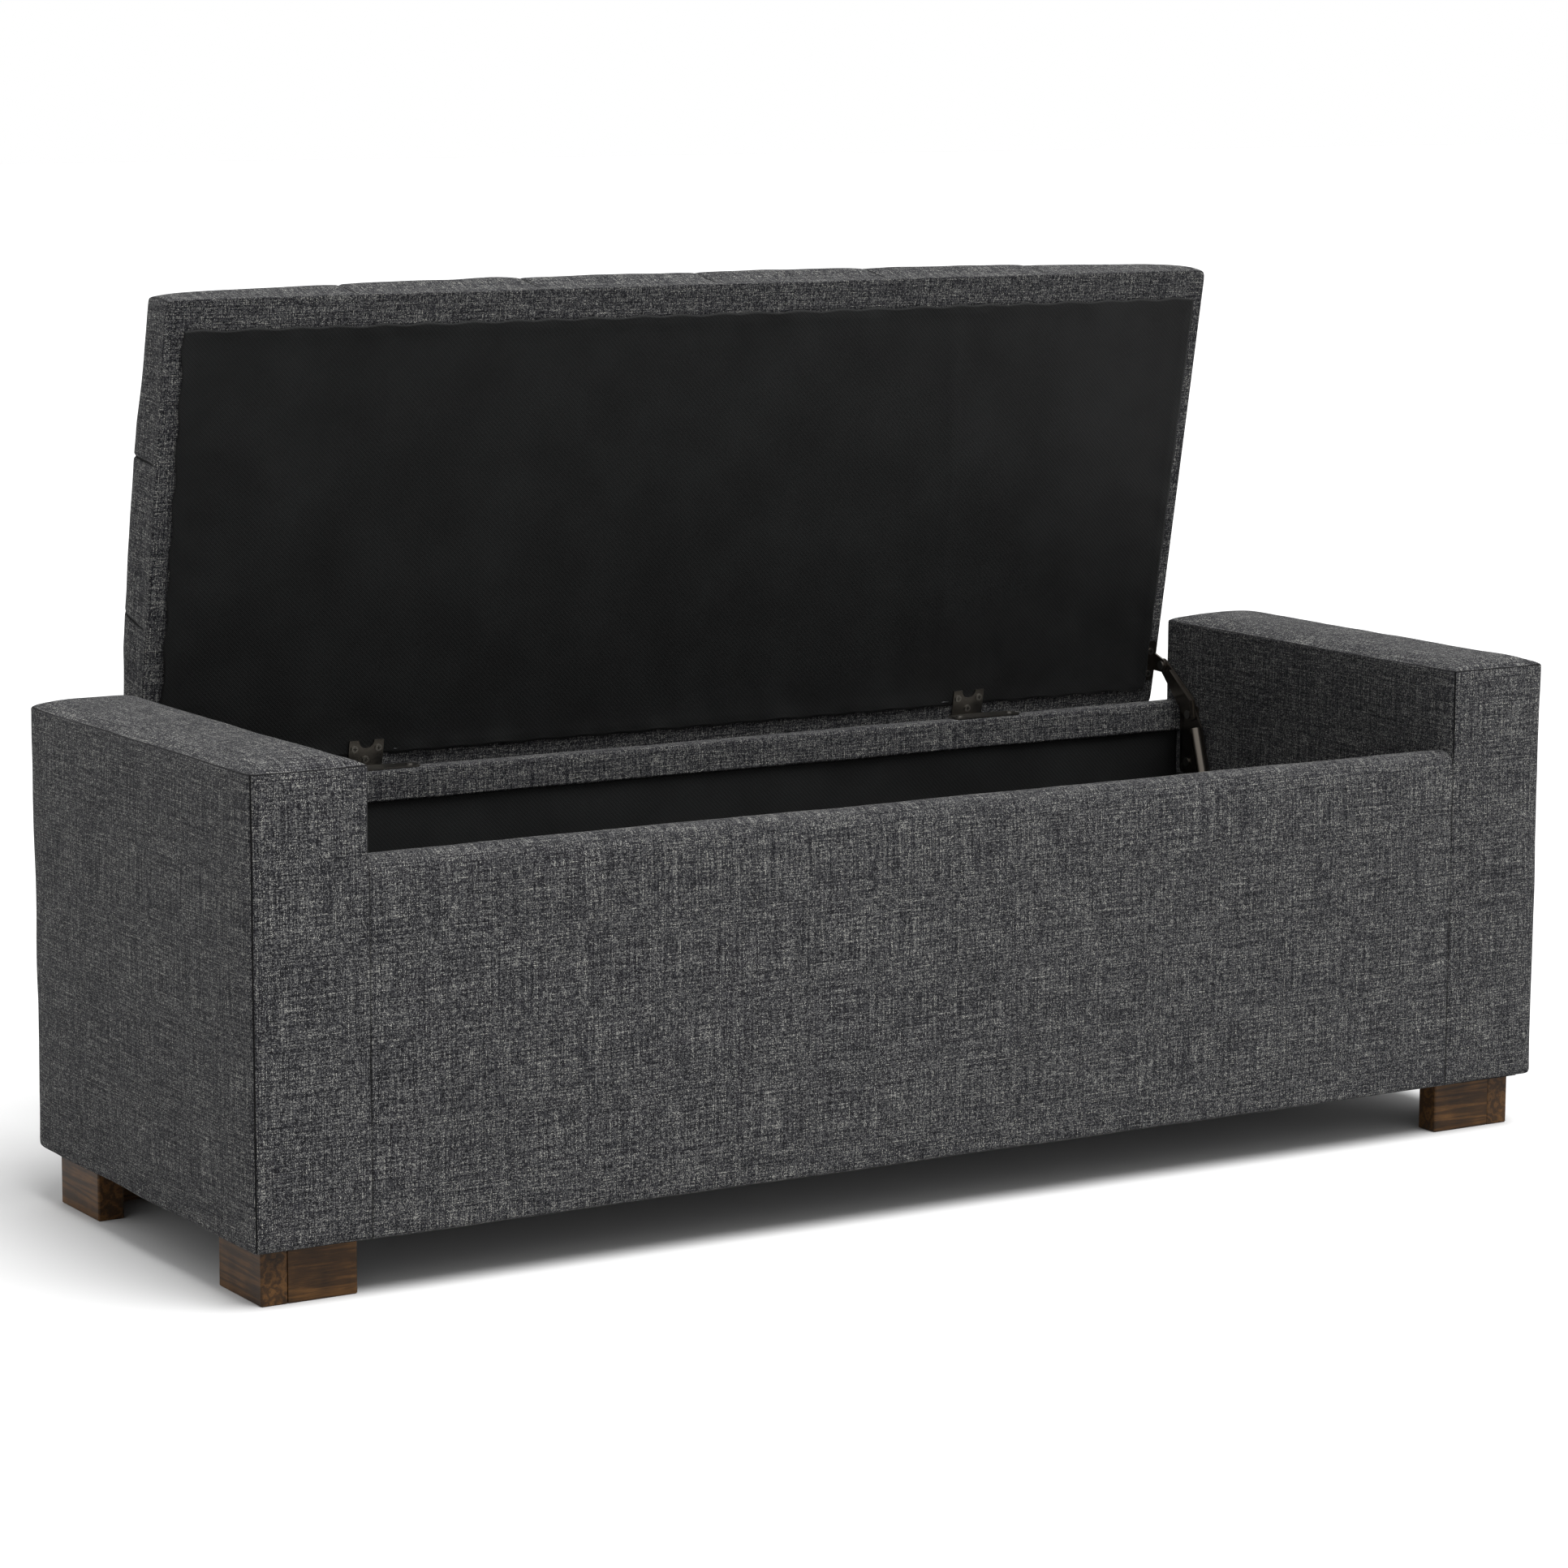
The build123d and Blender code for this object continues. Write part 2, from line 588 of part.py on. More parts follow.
for side_name, side in sides:
    with BuildPart() as base_plate:
        with BuildSketch(upright_plane(span(side, *base_x)[0])) as base_outline:
            profile(base_plate_y, base_plate_z)
            fillet(base_outline.vertices(), plate_corner_radius)
            with Locations(stay_pivot_base):
                Circle(rivet_radius, mode=Mode.SUBTRACT)
            with Locations(*base_screws):
                Circle(screw_shank + side_clearance, mode=Mode.SUBTRACT)
        extrude(amount=stay_plate)
        inner_face = upright_plane(side * base_x[0])
        for spot in base_screws:
            disc(
                inner_face,
                spot,
                screw_head_radius + side_clearance,
                side * screw_recess,
                mode=Mode.SUBTRACT,
            )
    save(base_plate, f"{side_name}_stay_base_plate")

    with BuildPart() as lower_arm:
        with BuildSketch(upright_plane(span(side, *lower_x)[0])):
            with Locations(stay_pivot_base, stay_pivot_elbow):
                Circle(stay_base_radius)
            with Locations(tube_top, tube_bottom):
                Circle(tube_wall)
            make_hull()
            with Locations(stay_pivot_base, stay_pivot_elbow):
                Circle(rivet_radius + pin_clearance, mode=Mode.SUBTRACT)
        extrude(amount=stay_plate)
        tube_x = side * (lower_x[0] - tube_radius + tube_lap)
        tube_run = Vector(0, tube_top[0] - tube_bottom[0], tube_top[1] - tube_bottom[1])
        tube_plane = Plane(
            origin=(tube_x, tube_bottom[0], tube_bottom[1]), x_dir=(1, 0, 0), z_dir=tube_run
        )
        with BuildSketch(tube_plane):
            Circle(tube_radius)
            Circle(tube_radius - tube_wall, mode=Mode.SUBTRACT)
            with Locations((-side * tube_radius, 0)):
                Rectangle(2 * tube_radius, tube_slit, mode=Mode.SUBTRACT)
        extrude(amount=tube_run.length)
    save(lower_arm, f"{side_name}_stay_lower_arm")

    with BuildPart() as elbow_rivet:
        rivet_low, rivet_high = span(side, upper_x[0] - head_gap, lower_x[1])
        disc(
            upright_plane(rivet_low), stay_pivot_elbow, rivet_radius, rivet_high - rivet_low
        )
        head_low = span(side, upper_x[0] - head_gap - rivet_head, upper_x[0] - head_gap)[0]
        disc(upright_plane(head_low), stay_pivot_elbow, rivet_head_radius, rivet_head)
    save(elbow_rivet, f"{side_name}_stay_elbow_rivet")

    with BuildPart() as upper_arm:
        with BuildSketch(upright_plane(span(side, *upper_x)[0])):
            with Locations(stay_pivot_lid, stay_pivot_elbow):
                Circle(stay_end_radius)
            with Locations(stay_knee, stay_heel):
                Circle(stay_knee_radius)
            make_hull()
            with Locations(stay_pivot_elbow):
                Circle(rivet_radius + pin_clearance, mode=Mode.SUBTRACT)
            with Locations(stay_pivot_lid):
                Circle(rivet_radius + open_pivot_clearance, mode=Mode.SUBTRACT)
        extrude(amount=stay_plate)
        flange_low = span(side, upper_x[0] - flange_height, upper_x[0])[0]
        with BuildSketch(upright_plane(flange_low)):
            with BuildLine():
                Polyline(flange_start, stay_knee, stay_heel)
            trace(line_width=flange_width)
        extrude(amount=flange_height)
    save(upper_arm, f"{side_name}_stay_upper_arm")

    with BuildPart() as lid_bracket:
        plate_x = span(side, lid_half - lid_cloth_inset + side_clearance, ear_x[1])
        bracket_z = (lid_z[0] - stay_plate, lid_z[0])
        with BuildSketch(lid_plane.offset(bracket_z[0])) as bracket_outline:
            with Locations(((plate_x[0] + plate_x[1]) / 2, (bracket_y[0] + bracket_y[1]) / 2)):
                Rectangle(plate_x[1] - plate_x[0], bracket_y[1] - bracket_y[0])
            fillet(bracket_outline.vertices(), plate_corner_radius)
            with Locations(*[(sum(plate_x) / 2, y) for y in bracket_screw_y]):
                Circle(screw_shank + side_clearance, mode=Mode.SUBTRACT)
        extrude(amount=stay_plate)
        with BuildSketch(lid_upright_plane(span(side, *ear_x)[0])):
            with Locations(ear_pivot):
                Circle(stay_end_radius)
            with Locations(
                (ear_pivot[0] - stay_end_radius, bracket_z[0]),
                (ear_pivot[0] + stay_end_radius, bracket_z[0]),
            ):
                Circle(stay_knee_radius)
            make_hull()
            with Locations(ear_pivot):
                Circle(rivet_radius, mode=Mode.SUBTRACT)
        extrude(amount=stay_plate)
    save(lid_bracket, f"{side_name}_stay_lid_bracket")

with BuildPart() as base_rivets:
    for side_name, side in sides:
        shank_low, shank_high = span(side, lower_x[0] - head_gap, base_x[1])
        disc(upright_plane(shank_low), stay_pivot_base, rivet_radius, shank_high - shank_low)
        head_low = span(side, lower_x[0] - head_gap - rivet_head, lower_x[0] - head_gap)[0]
        disc(upright_plane(head_low), stay_pivot_base, rivet_head_radius, rivet_head)
save(base_rivets, "stay_base_rivets")

with BuildPart() as lid_rivets:
    for side_name, side in sides:
        shank_low, shank_high = span(side, ear_x[0], upper_x[1] + head_gap)
        disc(lid_upright_plane(shank_low), ear_pivot, rivet_radius, shank_high - shank_low)
        for near, far in (
            (ear_x[0] - rivet_head, ear_x[0]),
            (upper_x[1] + head_gap, upper_x[1] + head_gap + rivet_head),
        ):
            head_low = span(side, near, far)[0]
            disc(lid_upright_plane(head_low), ear_pivot, rivet_head_radius, rivet_head)
save(lid_rivets, "stay_lid_rivets")

# ---------------------------------------------------------------- screws
with BuildPart() as body_screws:
    for side_name, side in sides:
        for offset_x in (-fixed_screw_x, fixed_screw_x):
            seat = Plane.XY.offset(back_rail_top + leaf)
            seat.origin = (side * hinge_x + offset_x, fixed_screw_y, back_rail_top + leaf)
            screw(seat)
        for y, z in base_screws:
            seat = Plane(origin=(side * base_x[0], y, z), x_dir=(0, 1, 0), z_dir=(-side, 0, 0))
            screw(seat, sunk=screw_head)
save(body_screws, "body_hardware_screws")

with BuildPart() as lid_screws:
    for side_name, side in sides:
        for x, y in moving_screws:
            spot = lid_plane.from_local_coords((side * hinge_x + x, y, lid_lift - leaf))
            screw(Plane(origin=spot, x_dir=(1, 0, 0), z_dir=lid_up * -1))
        bracket_middle = side * (lid_half - lid_cloth_inset + side_clearance + ear_x[1]) / 2
        for y in bracket_screw_y:
            spot = lid_plane.from_local_coords((bracket_middle, y, lid_z[0] - stay_plate))
            screw(Plane(origin=spot, x_dir=(1, 0, 0), z_dir=lid_up * -1))
save(lid_screws, "lid_hardware_screws")
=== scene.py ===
"""The looks of an upholstered storage bench: sewn and padded covers, a biscuit-tufted lid, stapled
linings, stained wood feet and the steel of its hinges and lid stays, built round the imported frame.
Lengths are in metres unless a name or a comment says otherwise.
"""
import json
import math
import random

import bpy
import numpy as np
from mathutils import Matrix, Vector, noise


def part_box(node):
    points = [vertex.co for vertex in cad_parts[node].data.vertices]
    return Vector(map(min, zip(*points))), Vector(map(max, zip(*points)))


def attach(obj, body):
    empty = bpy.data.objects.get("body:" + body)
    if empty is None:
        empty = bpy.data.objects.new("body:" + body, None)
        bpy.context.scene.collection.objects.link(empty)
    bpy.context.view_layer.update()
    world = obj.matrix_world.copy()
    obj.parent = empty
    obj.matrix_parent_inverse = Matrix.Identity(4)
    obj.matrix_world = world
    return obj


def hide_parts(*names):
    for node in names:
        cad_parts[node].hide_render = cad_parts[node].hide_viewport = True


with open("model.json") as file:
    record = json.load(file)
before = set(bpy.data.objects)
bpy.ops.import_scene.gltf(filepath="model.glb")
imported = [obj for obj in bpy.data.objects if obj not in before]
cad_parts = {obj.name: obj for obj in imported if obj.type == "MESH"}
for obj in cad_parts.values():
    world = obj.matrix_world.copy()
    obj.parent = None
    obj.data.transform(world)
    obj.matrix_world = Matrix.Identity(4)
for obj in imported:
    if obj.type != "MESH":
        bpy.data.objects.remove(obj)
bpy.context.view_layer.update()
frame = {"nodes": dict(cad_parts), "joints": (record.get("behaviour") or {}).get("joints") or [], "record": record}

MM = 0.001
SIDES = (("left", -1), ("right", 1))
SLOT_OF = {row["node"]: row["material_slot"] for row in frame["record"]["subparts"]}

# the body, from the frame
LEFT_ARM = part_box("left_arm_cover")
BODY_MIDDLE = Vector((0, (LEFT_ARM[0].y + LEFT_ARM[1].y) / 2, 0))

# the lid, in the coordinates of the closed lid, measured from its hinge pin
HINGE = next(j for j in frame["joints"] if j["name"] == "lid_hinge")
OPEN_ANGLE = math.radians(HINGE["range_deg"][1])
OPEN_LID = Matrix.Translation(Vector(HINGE["pos_m"])) @ Matrix.Rotation(-OPEN_ANGLE, 4, "X")


def lid_box(node):
    """Lowest and highest corner of one of the lid's nodes, in closed-lid coordinates."""
    back = OPEN_LID.inverted()
    places = np.array([back @ v.co for v in frame["nodes"][node].data.vertices])
    return Vector(places.min(0)), Vector(places.max(0))


# ------------------------------------------------------------------ material nodes
def linear(hex_colour):
    """An sRGB hex colour as linear RGBA."""
    channels = [int(hex_colour[i : i + 2], 16) / 255 for i in (1, 3, 5)]
    return (*[c / 12.92 if c <= 0.04045 else ((c + 0.055) / 1.055) ** 2.4 for c in channels], 1.0)


def add_node(tree, kind, settings=None, **inputs):
    """A node of this kind, with its settings, and each input set to a value or linked to a socket. An input
    is given by its name, with _ for a space, or by its number, as i0, i1 and so on."""
    node = tree.nodes.new(kind)
    for name, value in (settings or {}).items():
        setattr(node, name, value)
    for name, value in inputs.items():
        socket = node.inputs[int(name[1:])] if name[1:].isdigit() else node.inputs[name.replace("_", " ")]
        if isinstance(value, bpy.types.NodeSocket):
            tree.links.new(value, socket)
        else:
            socket.default_value = value
    return node


def start_material(name):
    """A new material, its node tree and its shader."""
    material = bpy.data.materials.new(name)
    material.use_nodes = True
    return material, material.node_tree, material.node_tree.nodes["Principled BSDF"]


def math_node(tree, operation, *values):
    """The result of a sum on numbers or sockets."""
    return add_node(tree, "ShaderNodeMath", {"operation": operation},
                    **{f"i{i}": v for i, v in enumerate(values)}).outputs[0]


def ramp(tree, factor, stops):
    """A colour that follows the factor through (place, hex colour) stops."""
    node = add_node(tree, "ShaderNodeValToRGB", Fac=factor)
    marks = node.color_ramp.elements
    while len(marks) < len(stops):
        marks.new(1.0)
    for mark, (place, colour) in zip(marks, stops):
        mark.position, mark.color = place, linear(colour)
    return node.outputs["Color"]


def noise_at(tree, vector, scale=1.0, detail=2.0):
    """Smooth noise from 0 to 1 at a place."""
    return add_node(tree, "ShaderNodeTexNoise", Vector=vector, Scale=scale, Detail=detail).outputs["Fac"]


def place_of(tree, x, y, z=0.0):
    """A place made from numbers or sockets."""
    return add_node(tree, "ShaderNodeCombineXYZ", X=x, Y=y, Z=z).outputs[0]


def bump(tree, shader, height, distance):
    """Raises the surface by height, this many metres at most."""
    relief = add_node(tree, "ShaderNodeBump", Height=height, Distance=distance, Strength=1.0)
    tree.links.new(relief.outputs["Normal"], shader.inputs["Normal"])


def upholstery_weave():
    """Polyester linen-look plain weave, piece-dyed charcoal with undyed slubs: dark and matte, flecked with
    short pale dashes along both yarns, so that it reads as a heathered grey with a faint crosshatch."""
    material, tree, shader = start_material("charcoal_linen_weave")
    yarn_mm = 0.9             # spacing of the yarns, drawn coarser than the real ones so that it shows
    slub_length = 11.0        # in yarns
    fleck_length = 1.4        # in yarns
    flat = add_node(tree, "ShaderNodeUVMap", {"uv_map": "cut"}).outputs["UV"]
    in_yarns = add_node(tree, "ShaderNodeVectorMath", {"operation": "SCALE"}, i0=flat, Scale=1000 / yarn_mm)
    split = add_node(tree, "ShaderNodeSeparateXYZ", i0=in_yarns.outputs["Vector"])
    across, along = split.outputs["X"], split.outputs["Y"]
    warp, weft = math_node(tree, "FLOOR", across), math_node(tree, "FLOOR", along)

    def yarn(number, run, seed):
        """How pale a yarn is along its run: long slubs with short flecks on them."""
        long_run = place_of(tree, math_node(tree, "MULTIPLY", number, 7.31),
                            math_node(tree, "DIVIDE", run, slub_length), seed)
        fleck = math_node(tree, "FLOOR", math_node(tree, "DIVIDE", run, fleck_length))
        paleness = add_node(tree, "ShaderNodeTexWhiteNoise", {"noise_dimensions": "3D"},
                            Vector=place_of(tree, number, fleck, seed)).outputs["Value"]
        slub = math_node(tree, "MULTIPLY_ADD", noise_at(tree, long_run, detail=1.0), 0.38, 0.19)
        return math_node(tree, "MULTIPLY_ADD", paleness, 0.24, slub)

    over = math_node(tree, "FLOORED_MODULO", math_node(tree, "ADD", warp, weft), 2.0)
    tone = add_node(tree, "ShaderNodeMix", {"data_type": "FLOAT"}, i0=over,
                    i2=yarn(warp, along, 0.0), i3=yarn(weft, across, 4.0)).outputs[0]
    streaks = math_node(tree, "ADD",
                        noise_at(tree, place_of(tree, math_node(tree, "MULTIPLY", across, 0.8),
                                                math_node(tree, "MULTIPLY", along, 0.012))),
                        noise_at(tree, place_of(tree, math_node(tree, "MULTIPLY", across, 0.012),
                                                math_node(tree, "MULTIPLY", along, 0.8), 3.0)))
    streaked = math_node(tree, "MULTIPLY_ADD", streaks, 0.27, math_node(tree, "SUBTRACT", tone, 0.27))
    dyed = ramp(tree, streaked, ((0.34, "#0d0d0f"), (0.44, "#1f1f22"), (0.52, "#38383b"),
                                 (0.61, "#676766"), (0.72, "#a6a59e")))

    def rounded(number):
        """A yarn's round back, from 0 at its edge to 1 in its middle."""
        half_turn = math_node(tree, "MULTIPLY", math_node(tree, "FRACT", number), math.pi)
        return math_node(tree, "SINE", half_turn)

    backs = math_node(tree, "SQRT", math_node(tree, "MULTIPLY", rounded(across), rounded(along)))
    # each yarn's colour is darkened towards its edges: painted shade on the yarns' round backs and in the gaps
    # between them
    gaps = math_node(tree, "MULTIPLY_ADD", backs, 0.6, 0.42)
    gap_shaded_weave = add_node(tree, "ShaderNodeMix", {"data_type": "RGBA", "blend_type": "MULTIPLY"}, i0=1.0,
                     i6=dyed, i7=gaps).outputs[2]
    # seams are darkened towards near black: painted shade in their grooves and where two covers meet
    painted_seam_shade = add_node(tree, "ShaderNodeAttribute", {"attribute_name": "seam"}).outputs["Fac"]
    seam = math_node(tree, "MINIMUM", math_node(tree, "MULTIPLY", painted_seam_shade, 1.9), 1.0)
    sewn = add_node(tree, "ShaderNodeMix", {"data_type": "RGBA"}, i0=seam, i6=gap_shaded_weave, i7=linear("#0c0c0d"))
    tree.links.new(sewn.outputs[2], shader.inputs["Base Color"])
    bump(tree, shader, math_node(tree, "ADD", backs, tone), 0.00028)
    shader.inputs["Roughness"].default_value = 0.95
    shader.inputs["Specular IOR Level"].default_value = 0.06
    shader.inputs["Sheen Weight"].default_value = 0.035
    shader.inputs["Sheen Roughness"].default_value = 0.45
    return material


def spunbond_cloth():
    """Black spunbond polypropylene, point-bonded in fine slanting rows: nearly black with a dull, dry shine
    and cloudy, unevenly laid fibre."""
    material, tree, shader = start_material("black_spunbond_cloth")
    row_mm = 2.2              # spacing of the bonded rows, drawn coarser than the real 0.8 so that it shows
    flat = add_node(tree, "ShaderNodeUVMap", {"uv_map": "cut"}).outputs["UV"]
    in_mm = add_node(tree, "ShaderNodeVectorMath", {"operation": "SCALE"}, i0=flat, Scale=1000.0)
    split = add_node(tree, "ShaderNodeSeparateXYZ", i0=in_mm.outputs["Vector"])
    slant = math_node(tree, "ADD", split.outputs["X"], split.outputs["Y"])
    row = math_node(tree, "SINE", math_node(tree, "MULTIPLY", slant, math.tau / row_mm))
    cross_slant = math_node(tree, "SUBTRACT", split.outputs["X"], split.outputs["Y"])
    cross_row = math_node(tree, "SINE", math_node(tree, "MULTIPLY", cross_slant, math.pi / row_mm))
    bonded = math_node(tree, "MULTIPLY_ADD", cross_row, 0.35, row)
    clouds = noise_at(tree, in_mm.outputs["Vector"], 0.012, 5.0)
    fibres = noise_at(tree, in_mm.outputs["Vector"], 0.9, 3.0)
    shade = math_node(tree, "ADD", math_node(tree, "MULTIPLY", clouds, 0.7),
                      math_node(tree, "MULTIPLY", fibres, 0.3))
    pressed = math_node(tree, "MULTIPLY_ADD", bonded, 0.2, shade)
    black = ramp(tree, pressed, ((0.3, "#030303"), (0.52, "#090a0a"), (0.75, "#161717")))
    tree.links.new(black, shader.inputs["Base Color"])
    bump(tree, shader, math_node(tree, "ADD", bonded, math_node(tree, "MULTIPLY", fibres, 1.5)), 0.00010)
    shader.inputs["Roughness"].default_value = 0.55
    shader.inputs["Specular IOR Level"].default_value = 0.14
    shader.inputs["Sheen Weight"].default_value = 0.01
    shader.inputs["Sheen Roughness"].default_value = 0.5
    return material


def board_grain(name, along, stops, ring_mm, roughness, coat):
    """Sawn wood whose rings run along one axis (0, 1 or 2), with fine pores and a cloudy tone. The same
    rings come out as curved end grain where the board is cut across."""
    material, tree, shader = start_material(name)
    place = add_node(tree, "ShaderNodeTexCoord").outputs["Object"]
    pore_mm, pore_length_mm = 0.7, 14.0
    stretch = [1000 / ring_mm] * 3
    stretch[along] = 1000 / ring_mm * 0.045
    grain_place = add_node(tree, "ShaderNodeVectorMath", {"operation": "MULTIPLY"}, i0=place, i1=stretch)
    wander = noise_at(tree, grain_place.outputs["Vector"], 0.35, 4.0)
    rings = math_node(tree, "SINE", math_node(tree, "MULTIPLY", wander, 34.0))
    pore_stretch = [1000 / pore_mm] * 3
    pore_stretch[along] = 1000 / pore_length_mm
    pore_place = add_node(tree, "ShaderNodeVectorMath", {"operation": "MULTIPLY"},
                          i0=place, i1=pore_stretch)
    pores = noise_at(tree, pore_place.outputs["Vector"], 1.0, 2.0)
    clouds = noise_at(tree, place, 38.0, 3.0)
    tone = math_node(tree, "ADD", math_node(tree, "MULTIPLY_ADD", rings, 0.10, 0.12),
                     math_node(tree, "ADD", math_node(tree, "MULTIPLY", pores, 0.32),
                               math_node(tree, "MULTIPLY", clouds, 0.46)))
    tree.links.new(ramp(tree, tone, stops), shader.inputs["Base Color"])
    bump(tree, shader, pores, 0.00012)
    shader.inputs["Roughness"].default_value = roughness
    shader.inputs["Specular IOR Level"].default_value = 0.14
    shader.inputs["Coat Weight"].default_value = coat
    shader.inputs["Coat Roughness"].default_value = 0.35
    return material


def finished_steel(name, dark, light, roughness, grit_mm=0.6):
    """Pressed steel under a thin satin finish: nearly even, with a fine drawn grain, lighter in random places of
    wear, and a painted highlight along its sharp edges."""
    material, tree, shader = start_material(name)
    place = add_node(tree, "ShaderNodeTexCoord").outputs["Object"]
    grit = noise_at(tree, place, 1000 / grit_mm, 3.0)
    wear = noise_at(tree, place, 60.0, 4.0)
    # sharp edges, found by their Pointiness, are lifted towards the light stop: a painted highlight, added to a
    # random tone of wear
    edge = add_node(tree, "ShaderNodeNewGeometry").outputs["Pointiness"]
    wear_and_edge_highlight = math_node(tree, "MULTIPLY_ADD", math_node(tree, "SUBTRACT", edge, 0.5), 3.0, wear)
    tree.links.new(ramp(tree, wear_and_edge_highlight, ((0.35, dark), (0.75, light))), shader.inputs["Base Color"])
    rough = math_node(tree, "MULTIPLY_ADD", grit, 0.16, roughness - 0.08)
    tree.links.new(rough, shader.inputs["Roughness"])
    bump(tree, shader, grit, 0.00004)
    shader.inputs["Metallic"].default_value = 1.0
    return material


def cut_foam():
    """Cut polyurethane foam: pale yellow, matte and open-celled."""
    material, tree, shader = start_material("cut_polyurethane_foam")
    place = add_node(tree, "ShaderNodeTexCoord").outputs["Object"]
    cell_mm = 2.2
    cells = add_node(tree, "ShaderNodeTexVoronoi", Vector=place, Scale=1000 / cell_mm).outputs["Distance"]
    # darker in each cell's sunken middle: painted shade in the open cells
    tree.links.new(ramp(tree, cells, ((0.0, "#9c8a62"), (0.5, "#dcd0a4"))), shader.inputs["Base Color"])
    bump(tree, shader, cells, 0.0005)
    shader.inputs["Roughness"].default_value = 0.95
    return material


WEAVE = upholstery_weave()
SPUNBOND = spunbond_cloth()
STEEL_WIRE = finished_steel("galvanised_staple_wire", "#3a3b3c", "#77787a", 0.35)
WALNUT = ((0.30, "#1b1107"), (0.48, "#32200d"), (0.62, "#472f15"), (0.80, "#5e4120"))
PINE = ((0.30, "#a98252"), (0.55, "#c9a26c"), (0.80, "#dcbd8a"))
BIRCH = ((0.30, "#a38358"), (0.55, "#bd9a6a"), (0.80, "#d0b285"))


def walnut_stained(along):
    """Rubberwood stained walnut under satin lacquer: deep brown, warmer where the grain opens."""
    return board_grain(f"walnut_stained_rubberwood_{'xyz'[along]}", along, WALNUT, 5.0, 0.45, 0.06)


FINISHES = {
    "foam": cut_foam(),
    "plywood": board_grain("birch_plywood", 0, BIRCH, 9.0, 0.7, 0.0),
    "pine_batten": board_grain("planed_pine", 1, PINE, 7.0, 0.65, 0.0),
    "hinge_steel": finished_steel("satin_nickelled_hinge_steel", "#2a2927", "#6e6b66", 0.30),
    "bronzed_steel": finished_steel("bronzed_stay_steel", "#181412", "#6a645d", 0.30),
    "steel_screws": finished_steel("blackened_screw_steel", "#4a4845", "#8f8d88", 0.30),
    "zinc_screws": finished_steel("zinc_plated_screw_steel", "#8c8d8c", "#c3c5c4", 0.30),
}


def finish_frame_parts():
    """Gives every part that shows as it was made its own finish."""
    side_grain, cross_grain = walnut_stained(1), walnut_stained(0)
    for node, part in frame["nodes"].items():
        if node.endswith("foot_side_board"):
            finish = side_grain
        elif node.endswith("foot_cross_board"):
            finish = cross_grain
        else:
            finish = FINISHES.get(SLOT_OF[node])
        if finish:
            part.data.materials.clear()
            part.data.materials.append(finish)


# ------------------------------------------------------------------ sewn, padded pieces
ROUNDING = 1e-5               # grid lines are rounded to a thousandth of a millimetre


def grid_lines(low, high, marks=(), step=12 * MM, beside=(1.6 * MM, 4 * MM, 8 * MM)):
    """Places from low to high: close together beside the ends and the marks, a step apart between them."""
    stops = sorted({low, high, *marks})
    places = set(stops)
    for a, b in zip(stops, stops[1:]):
        near = [d for d in beside if d < (b - a) / 2.2]
        edge = near[-1] if near else 0.0
        count = max(1, round((b - a - 2 * edge) / step))
        places |= {a + d for d in near} | {b - d for d in near}
        places |= {a + edge + (b - a - 2 * edge) * i / count for i in range(count + 1)}
    return sorted({round(p, 6) for p in places})


def box_shell(lines):
    """The surface of a box on a grid: its points, its faces, and each face's corners on the flat cloth."""
    index, points, faces, flats = {}, [], [], []

    def corner(place):
        if place not in index:
            index[place] = len(points)
            points.append(Vector([lines[axis][place[axis]] for axis in range(3)]))
        return index[place]

    for axis in range(3):
        first, second = (axis + 1) % 3, (axis + 2) % 3
        for end in (0, len(lines[axis]) - 1):
            for m in range(len(lines[first]) - 1):
                for n in range(len(lines[second]) - 1):
                    ring = [(m, n), (m + 1, n), (m + 1, n + 1), (m, n + 1)]
                    if end == 0:
                        ring.reverse()
                    face = []
                    for p, q in ring:
                        place = [0, 0, 0]
                        place[axis], place[first], place[second] = end, p, q
                        face.append(corner(tuple(place)))
                    faces.append(face)
                    kept = sorted((first, second))
                    flats.append([(points[i][kept[0]], points[i][kept[1]]) for i in face])
    return points, faces, flats


def ends_of(lines):
    """The lowest and highest corner of a grid, exactly as its points hold them."""
    return Vector([axis[0] for axis in lines]), Vector([axis[-1] for axis in lines])


def make_piece(name, points, faces, flats, seam_shades=None, material=WEAVE):
    """A mesh object with the layout of its flat cloth and how much painted shade each point takes from its seam.
    """
    mesh = bpy.data.meshes.new(name)
    mesh.from_pydata([tuple(p) for p in points], [], faces)
    layer = mesh.uv_layers.new(name="cut")
    layer.data.foreach_set("uv", [c for flat in flats for pair in flat for c in pair])
    if seam_shades:
        mesh.attributes.new("seam", "FLOAT", "POINT").data.foreach_set("value", seam_shades)
    mesh.materials.append(material)
    mesh.polygons.foreach_set("use_smooth", [True] * len(mesh.polygons))
    mesh.update()
    piece = bpy.data.objects.new(name, mesh)
    bpy.context.scene.collection.objects.link(piece)
    return piece


def coordinates(mesh):
    """A mesh's points as rows."""
    places = np.zeros(len(mesh.vertices) * 3, np.float32)
    mesh.vertices.foreach_get("co", places)
    return places.reshape(-1, 3).astype(float)


ROUNDNESS = 1.6               # how flat a full panel's middle is: more for a flatter middle


